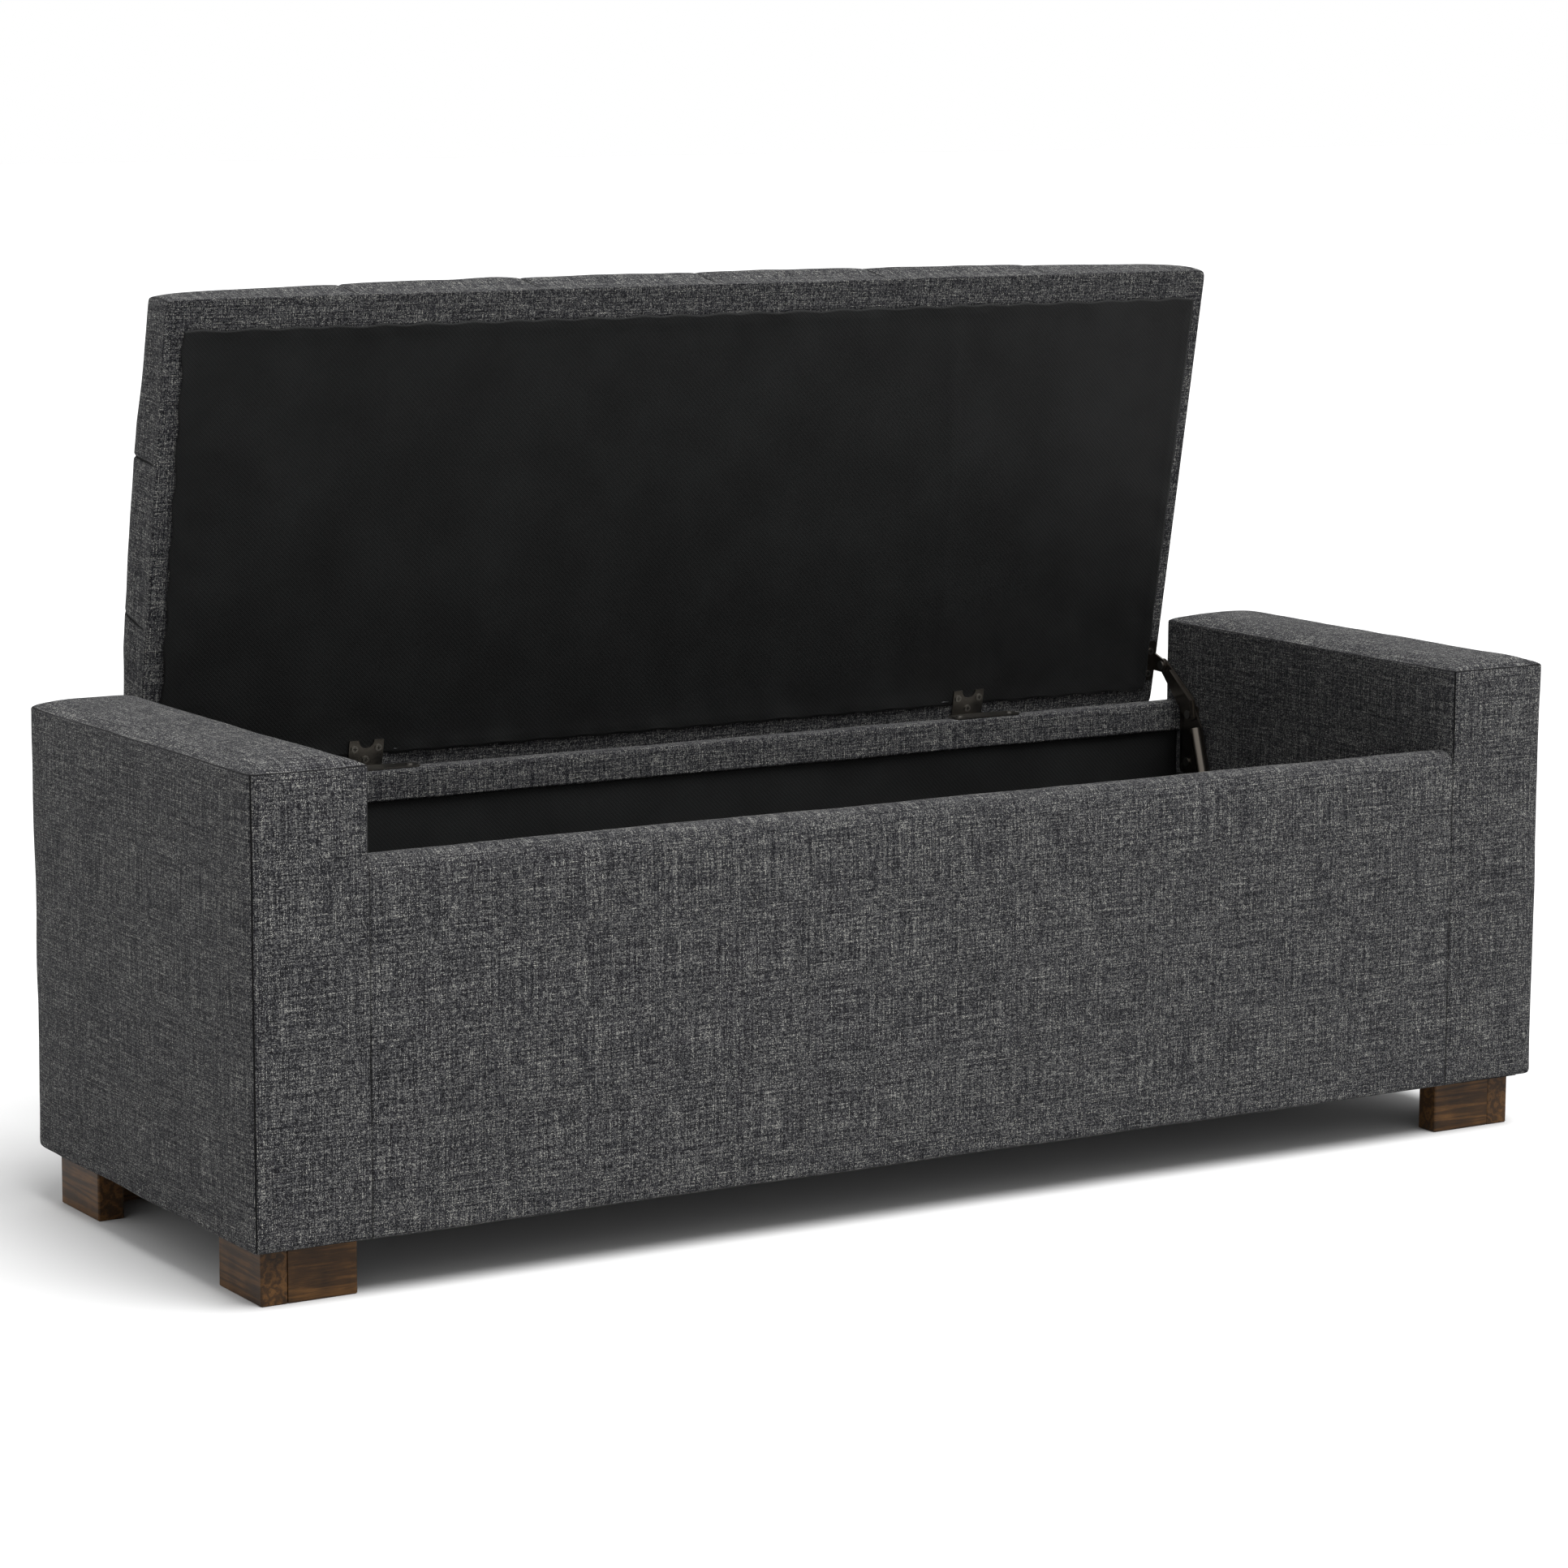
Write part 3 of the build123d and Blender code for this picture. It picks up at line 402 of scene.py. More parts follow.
def swell(piece, give, pressure=4.0, frames=20):
    """Lets the filling press the fabric out: a cloth simulation that is held where give is 0. Each panel
    ends up as full as its give, in the shape that the fabric took."""
    group = piece.vertex_groups.new(name="held")
    group.add([i for i, g in enumerate(give) if g <= 0], 1.0, "REPLACE")
    cloth = piece.modifiers.new("filling", "CLOTH")
    cloth.settings.vertex_group_mass = group.name
    cloth.settings.use_pressure = True
    cloth.settings.uniform_pressure_force = pressure
    cloth.settings.effector_weights.gravity = 0
    cloth.collision_settings.use_collision = False
    scene = bpy.context.scene
    for step in range(1, frames + 1):
        scene.frame_set(step)
    pressed = coordinates(piece.evaluated_get(bpy.context.evaluated_depsgraph_get()).data)
    piece.modifiers.remove(cloth)
    scene.frame_set(1)
    rest = coordinates(piece.data)
    move, limit = pressed - rest, np.array(give)
    length = np.maximum(np.linalg.norm(move, axis=1), 1e-9)
    share = np.zeros(len(limit))
    for full in sorted(set(give) - {0.0}):
        panel = limit == full
        reach = np.percentile(length[panel], 97)
        fill = np.tanh(ROUNDNESS * length[panel] / reach) / np.tanh(ROUNDNESS)
        share[panel] = full * fill / length[panel]
    piece.data.vertices.foreach_set("co", (rest + move * share[:, None]).astype(np.float32).ravel())
    piece.data.update()


def soften(piece):
    """One round of subdivision, kept in the mesh."""
    smooth = piece.modifiers.new("smooth", "SUBSURF")
    smooth.levels = 1
    rounded = bpy.data.meshes.new_from_object(piece.evaluated_get(bpy.context.evaluated_depsgraph_get()))
    piece.modifiers.clear()
    old = piece.data
    piece.data = rounded
    bpy.data.meshes.remove(old)
    piece.vertex_groups.clear()


def ripple(piece, depth, length, seed, where=None):
    """Slight unevenness of fabric over foam: depth in metres, over waves of about this length."""
    mesh = piece.data
    places, normals = coordinates(mesh), np.array([v.normal for v in mesh.vertices])
    offset = Vector((seed * 17.3, seed * 5.1, seed * 9.7))
    for i, place in enumerate(places):
        amount = noise.noise(Vector(place) / length + offset) * depth
        if where:
            amount *= where(Vector(place))
        places[i] = place + normals[i] * amount
    mesh.vertices.foreach_set("co", places.astype(np.float32).ravel())
    mesh.update()


def finish_piece(piece, body, slot, *nodes):
    """Rides a piece on its body, in place of the nodes that it stands for."""
    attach(piece, body)
    if nodes:
        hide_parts(*nodes)
    return piece


def turned_corner(value, other, low, high, radii):
    """A point of a rectangle's outline or inside, moved so that its corners are round. radii is keyed by
    (0 or 1, 0 or 1): at the low or high end of each direction."""
    end_a = int(value > (low[0] + high[0]) / 2)
    end_b = int(other > (low[1] + high[1]) / 2)
    radius = radii[end_a, end_b]
    if radius <= 0:
        return value, other
    centre_a = high[0] - radius if end_a else low[0] + radius
    centre_b = high[1] - radius if end_b else low[1] + radius
    out_a = (value - centre_a) * (1 if end_a else -1)
    out_b = (other - centre_b) * (1 if end_b else -1)
    if out_a <= 0 or out_b <= 0:
        return value, other
    reach = max(out_a, out_b) / math.hypot(out_a, out_b)
    return centre_a + (value - centre_a) * reach, centre_b + (other - centre_b) * reach


# ------------------------------------------------------------------ arms
FRONT_WALL_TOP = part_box("front_panel_cover")[1].z
BACK_WALL_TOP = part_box("back_panel_cover")[1].z
SIDE_LINING_TOP = 298 * MM    # top of the black lining on the arms' inner sides
ARM_CROWN = 9 * MM
ARM_SIDE_GIVE = 3.2 * MM
ARM_FRONT_GIVE = 2.2 * MM
ARM_INSIDE_GIVE = 0.8 * MM
SEAM_DEPTH = 1.4 * MM
STITCHED_SEAM_SHADE, BUTTED_SEAM_SHADE = 0.9, 0.4   # painted shade in a sewn seam's groove, and in the line where two covers only meet


def arm_upholstery(side_name, side):
    """An arm's sewn cover over its foam: crowned on top, full at the side, with a seam round the top edge
    and down each corner, and pulled under at the bottom."""
    low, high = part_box(f"{side_name}_arm_cover")
    lines = [grid_lines(low.x, high.x), grid_lines(low.y, high.y, step=13 * MM),
             grid_lines(low.z, high.z, step=13 * MM)]
    points, faces, flats = box_shell(lines)
    low, high = ends_of(lines)
    middle = (low + high) / 2
    half = (high - low) / 2
    outer, inner = int(side > 0), int(side < 0)
    radii = {(outer, 0): 5 * MM, (outer, 1): 12 * MM, (inner, 0): 0.5 * MM, (inner, 1): 2 * MM}
    tuck = 5 * MM             # radius of the fabric pulled under at the bottom
    give, seam_shades, shaped = [], [], []
    for p in points:
        panels = (p.x in (low.x, high.x)) + (p.y in (low.y, high.y)) + (p.z in (low.z, high.z))
        top, bottom = p.z == high.z, p.z == low.z
        inside = p.x == (high.x if side < 0 else low.x)
        seam = 0.0
        if panels >= 2 and not bottom:
            at_wall = inside and p.y == low.y and p.z < FRONT_WALL_TOP
            seam = BUTTED_SEAM_SHADE if at_wall else STITCHED_SEAM_SHADE
        seam_shades.append(seam)
        if panels >= 2 or bottom:
            give.append(0.0)
        elif top:
            give.append(ARM_CROWN)
        elif inside:
            give.append(ARM_INSIDE_GIVE if p.z > SIDE_LINING_TOP else 0.0)
        elif p.y in (low.y, high.y):
            give.append(ARM_FRONT_GIVE)
        else:
            give.append(ARM_SIDE_GIVE)
        x, y = turned_corner(p.x, p.y, (low.x, low.y), (high.x, high.y), radii)
        rise = max(0.0, tuck - (p.z - low.z))
        drop = tuck - math.sqrt(max(0.0, tuck * tuck - rise * rise))
        if not inside:
            x = middle.x + (x - middle.x) * (half.x - drop * 0.5) / half.x
        y = middle.y + (y - middle.y) * (half.y - drop) / half.y
        shaped.append(Vector((x, y, p.z)))
    for i, p in enumerate(shaped):
        if seam_shades[i] >= STITCHED_SEAM_SHADE:
            inward = Vector(((low.x + high.x) / 2 - p.x, 0, 0)).normalized()
            inward.y = math.copysign(1, (low.y + high.y) / 2 - p.y)
            inward.z = -1 if points[i].z == high.z else 0
            shaped[i] = p + inward.normalized() * SEAM_DEPTH
    piece = make_piece(f"{side_name}_arm_upholstery", shaped, faces, flats, seam_shades)
    swell(piece, give)
    soften(piece)
    ripple(piece, 0.9 * MM, 0.09, 3 + side)
    ripple(piece, 0.35 * MM, 0.03, 5 + side)
    return finish_piece(piece, "bench", "charcoal_fabric",
                        f"{side_name}_arm_cover", f"{side_name}_arm_foam")


# ------------------------------------------------------------------ front and back walls
def wall_upholstery(name, cover, padding, give_front, give_top, radii, band, hidden, seed):
    """A wall's cover over its padding, between the arms. Below the band that is turned down inside, its
    inner face is moved by hidden, so that it lies within the board."""
    low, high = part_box(cover)
    lines = [grid_lines(low.x, high.x, step=15 * MM),
             grid_lines(low.y, high.y, step=8 * MM, beside=(1.5 * MM, 4 * MM)),
             grid_lines(low.z, high.z, marks=(band,), step=13 * MM)]
    points, faces, flats = box_shell(lines)
    low, high = ends_of(lines)
    inner_end = hidden < 0
    turned_under, end_overlap = 4 * MM, 0.6 * MM
    give, seam_shades, shaped = [], [], []
    for p in points:
        end = p.x in (low.x, high.x)
        inner = p.y == (high.y if inner_end else low.y)
        outer = p.y == (low.y if inner_end else high.y)
        seam_shades.append(BUTTED_SEAM_SHADE if end else 0.0)
        if end or p.z == low.z or inner or (outer and p.z < low.z + turned_under):
            give.append(0.0)
        elif p.z == high.z:
            give.append(give_top)
        else:
            give.append(give_front)
        y, z = turned_corner(p.y, p.z, (low.y, low.z), (high.y, high.z), radii)
        if inner and p.z < band - ROUNDING:
            y += hidden
        x = p.x + (math.copysign(end_overlap, p.x) if end else 0.0)
        shaped.append(Vector((x, y, z)))
    piece = make_piece(name, shaped, faces, flats, seam_shades)
    swell(piece, give)
    soften(piece)
    ripple(piece, 0.8 * MM, 0.11, seed)
    ripple(piece, 0.35 * MM, 0.035, seed + 1)
    return finish_piece(piece, "bench", "charcoal_fabric", cover, padding)


def front_wall():
    """The front wall, with a full round top edge."""
    radii = {(0, 0): 5 * MM, (0, 1): 14 * MM, (1, 0): 0, (1, 1): 8 * MM}
    return wall_upholstery("front_wall_upholstery", "front_panel_cover", "front_panel_foam",
                           give_front=2.6 * MM, give_top=0.4 * MM, radii=radii,
                           band=FRONT_WALL_TOP - 24 * MM, hidden=-2 * MM, seed=11)


def back_wall():
    """The back wall, thinly padded along its top, which carries the hinges."""
    radii = {(0, 0): 0, (0, 1): 4 * MM, (1, 0): 0.5 * MM, (1, 1): 5 * MM}
    return wall_upholstery("back_wall_upholstery", "back_panel_cover", "back_rail_padding",
                           give_front=1.2 * MM, give_top=0.6 * MM, radii=radii,
                           band=BACK_WALL_TOP - 30 * MM, hidden=7.5 * MM, seed=21)


# ------------------------------------------------------------------ lid
COLUMNS, ROWS = 6, 3          # of pillows
TUFT_DEPTH = 9 * MM           # of the channels between the pillows
SIDE_CHANNEL_DEPTH = 4 * MM   # of their ends, at the top of the lid's sides
PILLOW_CROWN_START = 7 * MM   # how far below the CAD's top the pillows' rims lie before they fill
PILLOW_GIVE = 12 * MM
LID_SIDE_GIVE = 1.6 * MM
END_BOW = 10 * MM             # how far the corners are pulled in at the foam's top
BOW_START = 0.4               # share of the way from an edge's middle to its end
BOARD_CLEARANCE = 0.9 * MM
BROW = 20 * MM                # radius of the rounded top edge
# painted shade darkening the sewn channels between the pillows and the mitred corners
CHANNEL_SEAM_SHADE, MITRE_SEAM_SHADE = 0.95, 0.6


def edge_bow(from_middle, foam_share):
    """How far an edge of the lid is pulled in: nothing over its middle part, and all of the bow at its
    ends. foam_share is 0 at the board and 1 at the foam's top."""
    return END_BOW * foam_share * max(0.0, from_middle - BOW_START) ** 2 / (1 - BOW_START) ** 2


def lid_upholstery():
    """The lid's cover over its foam: six by three pillows, sewn through along channels that run on down the
    sides, mitred at the corners and turned under the board."""
    low, high = lid_box("lid_cover")
    across = [low.x + (high.x - low.x) * i / COLUMNS for i in range(1, COLUMNS)]
    down = [low.y + (high.y - low.y) * i / ROWS for i in range(1, ROWS)]
    lines = [grid_lines(low.x, high.x, across), grid_lines(low.y, high.y, down),
             grid_lines(low.z, high.z - PILLOW_CROWN_START, step=11 * MM)]
    points, faces, flats = box_shell(lines)
    low, high = ends_of(lines)
    radii = {key: 8 * MM for key in ((0, 0), (0, 1), (1, 0), (1, 1))}
    board_top = lid_box("lid_board")[1].z
    held_below = board_top + 2 * MM
    middle, half = (low + high) / 2, (high - low) / 2
    give, seam_shades, shaped = [], [], []
    for p in points:
        on_channel = (any(abs(p.x - a) < ROUNDING for a in across)
                      or any(abs(p.y - d) < ROUNDING for d in down))
        at_corner = p.x in (low.x, high.x) and p.y in (low.y, high.y)
        bottom, top = p.z == low.z, p.z == high.z
        side = (p.x in (low.x, high.x) or p.y in (low.y, high.y)) and not bottom
        height = (p.z - low.z) / (high.z - low.z)
        on_side_channel = side and not top and on_channel and height > 0.12
        top_channel = top and on_channel
        if top_channel or on_side_channel:
            seam_shades.append(CHANNEL_SEAM_SHADE)
        else:
            seam_shades.append(MITRE_SEAM_SHADE if at_corner and not top else 0.0)
        if bottom or on_side_channel or top_channel or (side and p.z < held_below):
            give.append(0.0)
        elif at_corner:
            give.append(1.5 * MM)
        elif side:
            give.append(LID_SIDE_GIVE + 2 * MM * height)
        else:
            give.append(PILLOW_GIVE)
        x, y = turned_corner(p.x, p.y, (low.x, low.y), (high.x, high.y), radii)
        z = p.z
        rise = max(0.0, BROW - (high.z - p.z))
        drop = BROW - math.sqrt(max(0.0, BROW * BROW - rise * rise))
        foam_share = max(0.0, (p.z - board_top) / (high.z - board_top))
        bow_x = edge_bow(abs(p.y - middle.y) / half.y, foam_share)
        bow_y = edge_bow(abs(p.x - middle.x) / half.x, foam_share)
        x = middle.x + (x - middle.x) * (half.x - drop - bow_x * 0.5 + BOARD_CLEARANCE) / half.x
        y = middle.y + (y - middle.y) * (half.y - drop - bow_y + BOARD_CLEARANCE) / half.y
        sink = TUFT_DEPTH if top_channel else SIDE_CHANNEL_DEPTH * height if on_side_channel else 0.0
        if top:
            rim = min(p.x - low.x, high.x - p.x, p.y - low.y, high.y - p.y)
            z -= sink * min(1.0, 0.6 + rim / (40 * MM))
        elif side:
            x -= sink * (1 if p.x == high.x else -1 if p.x == low.x else 0)
            y -= sink * (1 if p.y == high.y else -1 if p.y == low.y else 0)
        shaped.append(Vector((x, y, z)))
    piece = make_piece("lid_upholstery", shaped, faces, flats, seam_shades)
    swell(piece, give)
    soften(piece)
    ripple(piece, 0.8 * MM, 0.05, 31, where=lambda p: min(1.0, max(0.0, (p.z - board_top) / (15 * MM))))
    piece.data.transform(OPEN_LID)
    return finish_piece(piece, "lid", "charcoal_fabric", "lid_cover", "lid_foam")


STAPLE_SPACING = 45 * MM
STAPLE_INSET = 5 * MM
HEM = 11 * MM
CLOTH = 0.7 * MM              # the sheets' thickness


def staple_places(length, seed):
    """Where staples sit along an edge of this length, each a little off its even place."""
    count = round(length / STAPLE_SPACING)
    chance = random.Random(seed)
    return [length * (i + 0.5) / count + chance.uniform(-6, 6) * MM for i in range(count)]


def nearest_gap(place, staples):
    """0 at a staple and 1 midway between two."""
    return min(1.0, min(abs(place - s) for s in staples) / (STAPLE_SPACING / 2))


def two_skins(wide, deep):
    """The faces of a sheet of wide x deep points: a front, a back on the points that follow, and the edge
    between them."""
    skin = wide * deep
    faces = []
    for j in range(deep - 1):
        for i in range(wide - 1):
            near, far = j * wide + i, (j + 1) * wide + i
            ring = [near, far, far + 1, near + 1]
            faces.append(ring)
            faces.append([k + skin for k in reversed(ring)])
    rim = list(range(wide))
    rim += [j * wide + wide - 1 for j in range(1, deep)]
    rim += [(deep - 1) * wide + i for i in reversed(range(wide - 1))]
    rim += [j * wide for j in reversed(range(1, deep - 1))]
    for a, b in zip(rim, rim[1:] + rim[:1]):
        faces.append([a, b, b + skin, a + skin])
    return faces


def cloth_sheet(name, lines, place):
    """A flat sheet on a grid, each of whose points is moved to place(x, y)."""
    xs, ys = lines
    front = [place(x, y) for y in ys for x in xs]
    back = [p + Vector((0, 0, CLOTH)) for p in front]
    faces = two_skins(len(xs), len(ys))
    flat = [(x, y) for y in ys for x in xs] * 2
    flats = [[flat[i] for i in face] for face in faces]
    return make_piece(name, front + back, faces, flats, material=SPUNBOND)


FREE_EDGE_SHIFT = 10 * MM     # from the CAD's edge to where the hem lies, towards the hinge
RIGHT_EDGE_SHIFT = 6 * MM     # from the CAD's edge to where the hem lies, towards the right
LEAF_MARGIN = 3 * MM          # round each hinge leaf, which holds the cloth flat
# dents, in millimetres on the closed lid: across from the middle, back from the pin, size, depth
DENTS = [(-90, -380, 12, 1.3), (-115, -331, 10, 0.9), (468, -97, 12, 1.2), (-185, -81, 12, 1.0),
         (-351, -52, 9, 2.2), (-343, -41, 8, 2.0), (-362, -38, 7, 1.6), (354, -62, 9, 2.2),
         (366, -70, 9, 2.0), (348, -50, 7, 1.5), (-420, -300, 20, 0.8)]
CREASE_X, CREASE_TOP, CREASE_BOTTOM = 277 * MM, -400 * MM, -60 * MM
DEEPEST_DENT = 1.7 * MM


def dents_and_crease(x, y):
    """How far the lid's cloth stands off at a place: less than 0 in a dent and more on its long crease."""
    off = 0.0
    for dx, dy, size, depth in DENTS:
        lean = (y - dy * MM) * 0.25 * math.copysign(1, dx)
        far = math.hypot((x - dx * MM - lean) / (size * 0.7 * MM), (y - dy * MM) / (size * 1.9 * MM))
        off -= 0.7 * depth * MM * math.exp(-far * far)
    if CREASE_TOP < y < CREASE_BOTTOM:
        bend = CREASE_X + (y - CREASE_TOP) * 0.07 + 2 * MM * math.sin(y * 40)
        off += 0.7 * MM * math.exp(-((x - bend) / (3 * MM)) ** 2)
    return off


def lid_dust_cloth():
    """The black cloth stapled over the lid's underside: a folded hem that puckers between its staples, and
    soft dents and a crease where it lies loose."""
    low, high = lid_box("lid_dust_cloth")
    low += Vector((0, FREE_EDGE_SHIFT, 0))
    high += Vector((RIGHT_EDGE_SHIFT, 0, 0))
    long_staples = [staple_places(high.x - low.x, s) for s in (1, 2)]
    short_staples = [staple_places(high.y - low.y, s) for s in (3, 4)]
    leaves = []
    for side_name, _ in SIDES:
        leaf_low, leaf_high = lid_box(f"{side_name}_hinge_moving_leaf")
        leaf_middle, leaf_half = (leaf_low.x + leaf_high.x) / 2, (leaf_high.x - leaf_low.x) / 2
        leaves.append((leaf_middle, leaf_half + LEAF_MARGIN, -leaf_low.y + LEAF_MARGIN))

    def place(x, y):
        gaps = []
        for along, length_from, staples, distance in (
            (x, low.x, long_staples[0], y - low.y), (x, low.x, long_staples[1], high.y - y),
            (y, low.y, short_staples[0], x - low.x), (y, low.y, short_staples[1], high.x - x),
        ):
            gaps.append((distance, nearest_gap(along - length_from, staples)))
        edge, gap = min(gaps)
        to_leaf = min(max(abs(x - middle) - half, -reach_in - y, 0.0) for middle, half, reach_in in leaves)
        loose = min(1.0, to_leaf / (25 * MM))
        pucker = math.exp(-edge / (9 * MM)) * gap
        hem = 0.7 * MM / (1 + math.exp((edge - HEM) / (1.2 * MM)))
        hang = 0.9 * MM * min(1.0, edge / (12 * MM))
        lift = 0.3 * MM + (hem + hang + 2.4 * MM * pucker) * loose
        ridge = math.exp(-edge / (35 * MM)) * 0.5 * MM * math.cos(gap * math.pi) * loose
        slack = 1.1 * MM * noise.noise(Vector((x * 7, y * 4, 3.1)))
        slack += 0.5 * MM * noise.noise(Vector((x * 24, y * 11, 8.2)))
        slack += 0.8 * MM * math.exp(-edge / (45 * MM)) * noise.noise(Vector((x * 38, y * 38, 1.3)))
        slack = max(slack + dents_and_crease(x, y), -DEEPEST_DENT)
        inward = 2.6 * MM * gap * math.exp(-edge / (6 * MM))
        px = x + (inward if x - low.x == edge else -inward if high.x - x == edge else 0)
        py = y + (inward if y - low.y == edge else -inward if high.y - y == edge else 0)
        free = min(1.0, edge / (12 * MM), loose)
        return Vector((px, py, high.z - CLOTH - lift - free * slack - ridge))

    beside_hem = (3 * MM, 7 * MM, 10.5 * MM, 12.5 * MM)
    lines = [grid_lines(low.x, high.x, step=7 * MM, beside=beside_hem),
             grid_lines(low.y, high.y, step=7 * MM, beside=beside_hem)]
    piece = cloth_sheet("lid_underside_cloth", lines, place)
    piece.data.transform(OPEN_LID)
    finish_piece(piece, "lid", "black_nonwoven", "lid_dust_cloth")

    crowns = []
    crown_z = low.z - 0.5 * MM
    for y, staples in zip((low.y + STAPLE_INSET, high.y - STAPLE_INSET), long_staples):
        crowns += [(Vector((low.x + s, y, crown_z)), Vector((1, 0, 0))) for s in staples]
    for x, staples in zip((low.x + STAPLE_INSET, high.x - STAPLE_INSET), short_staples):
        crowns += [(Vector((x, low.y + s, crown_z)), Vector((0, 1, 0))) for s in staples]
    wire = staples_piece("lid_cloth_staples", crowns, Vector((0, 0, 1)))
    wire.data.transform(OPEN_LID)
    finish_piece(wire, "lid", "steel_screws")


def staples_piece(name, crowns, inward):
    """Fine wire staples: each a crown 9 mm wide with a leg driven in at each end."""
    crown, leg, radius, bend = 9 * MM, 5 * MM, 0.45 * MM, 0.8 * MM
    around = 6                # points round the wire
    points, faces = [], []
    for middle, along in crowns:
        start, end = middle - along * crown / 2, middle + along * crown / 2
        route = [start + inward * leg, start + inward * bend, start + along * bend, end - along * bend,
                 end + inward * bend, end + inward * leg]
        across = along.cross(inward)
        first = len(points)
        for i, place in enumerate(route):
            ahead = (route[min(i + 1, len(route) - 1)] - route[max(i - 1, 0)]).normalized()
            up = across.cross(ahead)
            for k in range(around):
                turn = math.tau * k / around
                points.append(place + (across * math.cos(turn) + up * math.sin(turn)) * radius)
        for i in range(len(route) - 1):
            for k in range(around):
                a, b = first + i * around + k, first + i * around + (k + 1) % around
                faces.append([a, b, b + around, a + around])
        faces.append([first + k for k in reversed(range(around))])
        faces.append([first + (len(route) - 1) * around + k for k in range(around)])
    flats = [[(0.0, 0.0)] * len(face) for face in faces]
    return make_piece(name, points, faces, flats, material=STEEL_WIRE)


# ------------------------------------------------------------------ linings
BACK_LINING_DROP = 28 * MM    # from the back wall's top to where its lining starts
LINING = 0.6 * MM             # its thickness
LINING_OUT = 0.9 * MM         # how far its face stands off the CAD's lining


def storage_lining():
    """The black cloth on the four walls of the storage well, stapled along the top and a little slack."""
    low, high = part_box("storage_wall_lining")
    wide_wall, deep_wall = high.x - low.x, high.y - low.y
    right, back = Vector((1, 0, 0)), Vector((0, 1, 0))
    walls = (  # front, back, left and right: corner, way along, way into the well, length and top
        (Vector((low.x, low.y, 0)), right, back, wide_wall, high.z),
        (Vector((high.x, high.y, 0)), -right, -back, wide_wall, BACK_WALL_TOP - BACK_LINING_DROP),
        (Vector((low.x, high.y, 0)), -back, right, deep_wall, SIDE_LINING_TOP),
        (Vector((high.x, low.y, 0)), back, -right, deep_wall, SIDE_LINING_TOP),
    )
    points, faces, flats, run, area = [], [], [], 0.0, 0.0
    for seed, (start, along, inward, length, top) in enumerate(walls):
        xs = grid_lines(0.0, length, step=11 * MM, beside=(4 * MM,))
        ys = grid_lines(low.z, top, step=11 * MM, beside=(3 * MM, 7 * MM))
        staples = staple_places(length, 40 + seed)
        first = len(points)
        for skin in (0.0, LINING):
            for y in ys:
                for x in xs:
                    fade = min(1.0, (top - y) / (30 * MM), (y - low.z) / (20 * MM),
                               x / (15 * MM), (length - x) / (15 * MM))
                    slack = 1.3 * MM * fade * (0.5 + noise.noise(Vector((x * 9, y * 5, seed * 4.4))))
                    pucker = 0.5 * MM * math.exp(-(top - y) / (12 * MM)) * nearest_gap(x, staples)
                    out = LINING_OUT - skin + slack + pucker
                    points.append(start + along * x + inward * out + Vector((0, 0, y)))
        panel = two_skins(len(xs), len(ys))
        flat = [(run + x, y) for y in ys for x in xs] * 2
        faces += [[first + i for i in face] for face in panel]
        flats += [[flat[i] for i in face] for face in panel]
        run += length
        area += length * (top - low.z)
    piece = make_piece("storage_wall_cloth", points, faces, flats, material=SPUNBOND)
    return finish_piece(piece, "bench", "black_nonwoven", "storage_wall_lining")


def flat_lining(name, node, seed, upward, inset=0.0):
    """A cloth laid or stretched flat, with a slight unevenness."""
    low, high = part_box(node)
    low += Vector((inset, inset, 0))
    high -= Vector((inset, inset, 0))
    lines = [grid_lines(low.x, high.x, step=22 * MM, beside=(5 * MM,)),
             grid_lines(low.y, high.y, step=22 * MM, beside=(5 * MM,))]
    face = high.z if upward else low.z

    def place(x, y):
        rim = min(x - low.x, high.x - x, y - low.y, high.y - y)
        slack = 0.7 * MM * min(1.0, rim / (20 * MM)) * (0.5 + noise.noise(Vector((x * 8, y * 8, seed))))
        return Vector((x, y, face - CLOTH + (slack if upward else 0.0)))

    piece = cloth_sheet(name, lines, place)
    return finish_piece(piece, "bench", "black_nonwoven", node)


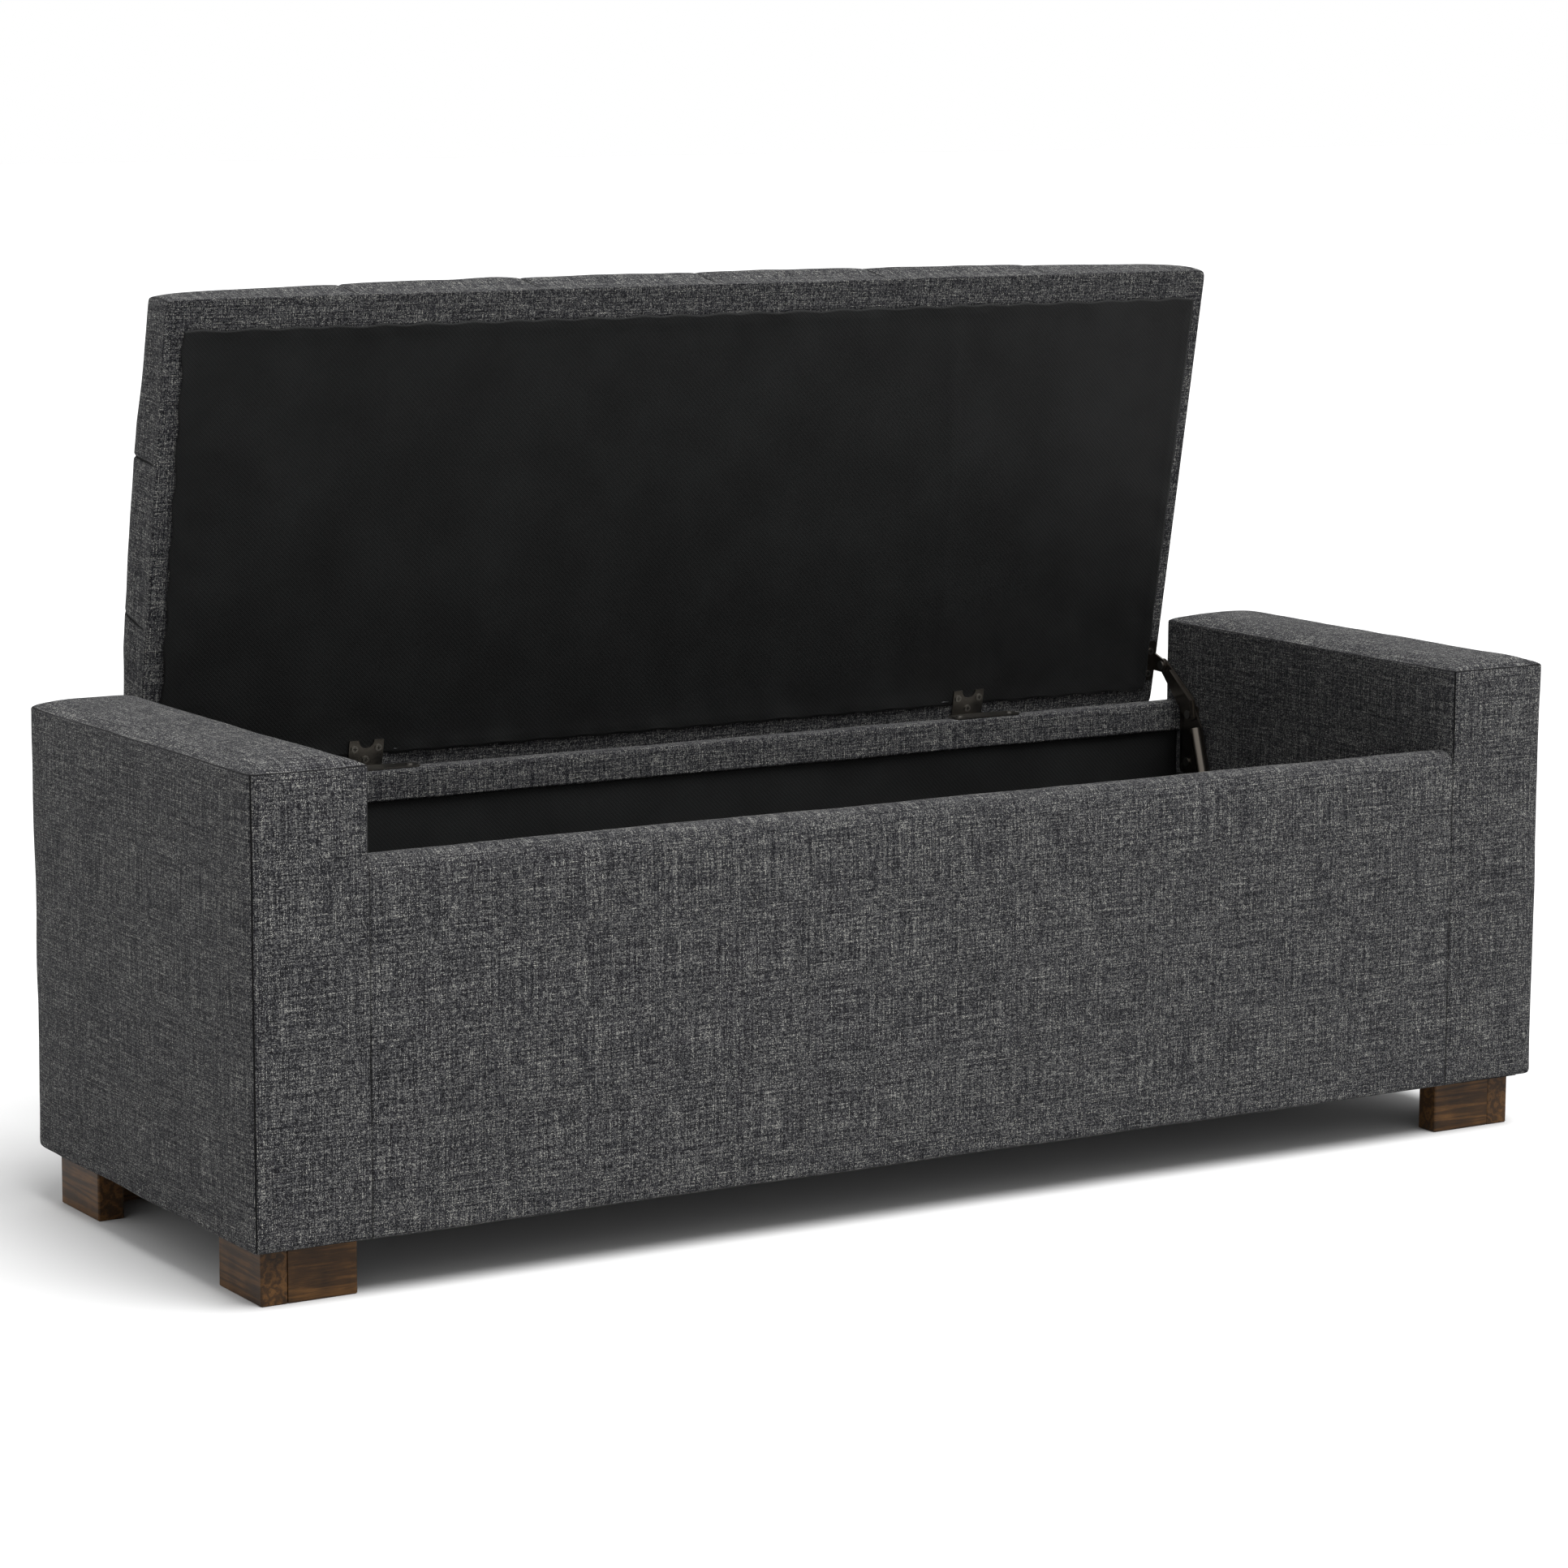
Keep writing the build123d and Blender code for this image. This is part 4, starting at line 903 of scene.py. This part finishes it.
# ------------------------------------------------------------------ floor, light and camera
def studio():
    """A pale floor under a pale sky, with one broad soft key light from above the front."""
    floor_mesh = bpy.data.meshes.new("studio_floor")
    reach = 30.0
    corners = [(x * reach, y * reach, 0) for x, y in ((-1, -1), (1, -1), (1, 1), (-1, 1))]
    floor_mesh.from_pydata(corners, [], [(0, 1, 2, 3)])
    floor = bpy.data.objects.new("studio_floor", floor_mesh)
    bpy.context.scene.collection.objects.link(floor)
    material, tree, shader = start_material("pale_studio_floor")
    mottle = noise_at(tree, add_node(tree, "ShaderNodeTexCoord").outputs["Object"], 3.0)
    tree.links.new(ramp(tree, mottle, ((0.3, "#bababa"), (0.7, "#bdbdbd"))), shader.inputs["Base Color"])
    shader.inputs["Roughness"].default_value = 0.9
    floor_mesh.materials.append(material)

    world = bpy.data.worlds.new("pale_sky")
    world.use_nodes = True
    world.node_tree.nodes["Background"].inputs["Color"].default_value = (1, 1, 1, 1)
    world.node_tree.nodes["Background"].inputs["Strength"].default_value = 1.0
    bpy.context.scene.world = world

    key = bpy.data.lights.new("broad_soft_key", "SUN")
    key.energy, key.angle = 5.3, math.radians(40)
    shines = Vector((-0.15, 0.35, -0.925))
    lamp = bpy.data.objects.new("broad_soft_key", key)
    lamp.rotation_euler = shines.to_track_quat("-Z", "Y").to_euler()
    bpy.context.scene.collection.objects.link(lamp)


def viewpoint():
    """A long lens at seated eye height, off the bench's left front corner."""
    yaw, pitch, roll = math.radians(31.55), math.radians(-9.04), math.radians(0.2)
    camera = bpy.data.cameras.new("viewpoint")
    camera.lens, camera.sensor_width = 109.6, 36.0
    camera.clip_end = 100.0
    eye = bpy.data.objects.new("viewpoint", camera)
    ahead = Vector((math.sin(yaw) * math.cos(pitch), math.cos(yaw) * math.cos(pitch), math.sin(pitch)))
    facing = ahead.to_track_quat("-Z", "Y").to_matrix().to_4x4() @ Matrix.Rotation(roll, 4, "Z")
    off_body = Vector((-2.3275, -3.7415, 1.0614))
    eye.matrix_world = Matrix.Translation(BODY_MIDDLE + off_body) @ facing
    bpy.context.scene.collection.objects.link(eye)
    bpy.context.scene.camera = eye


viewpoint()
studio()
finish_frame_parts()
for side_name, side in SIDES:
    arm_upholstery(side_name, side)
front_wall()
back_wall()
lid_upholstery()
lid_dust_cloth()
storage_lining()
flat_lining("storage_floor_cloth", "storage_floor_lining",
            seed=1.7, upward=True)
flat_lining("underside_cloth", "underside_dust_cloth",
            seed=2.9, upward=False, inset=9 * MM)

bpy.context.scene.view_settings.view_transform = "Standard"
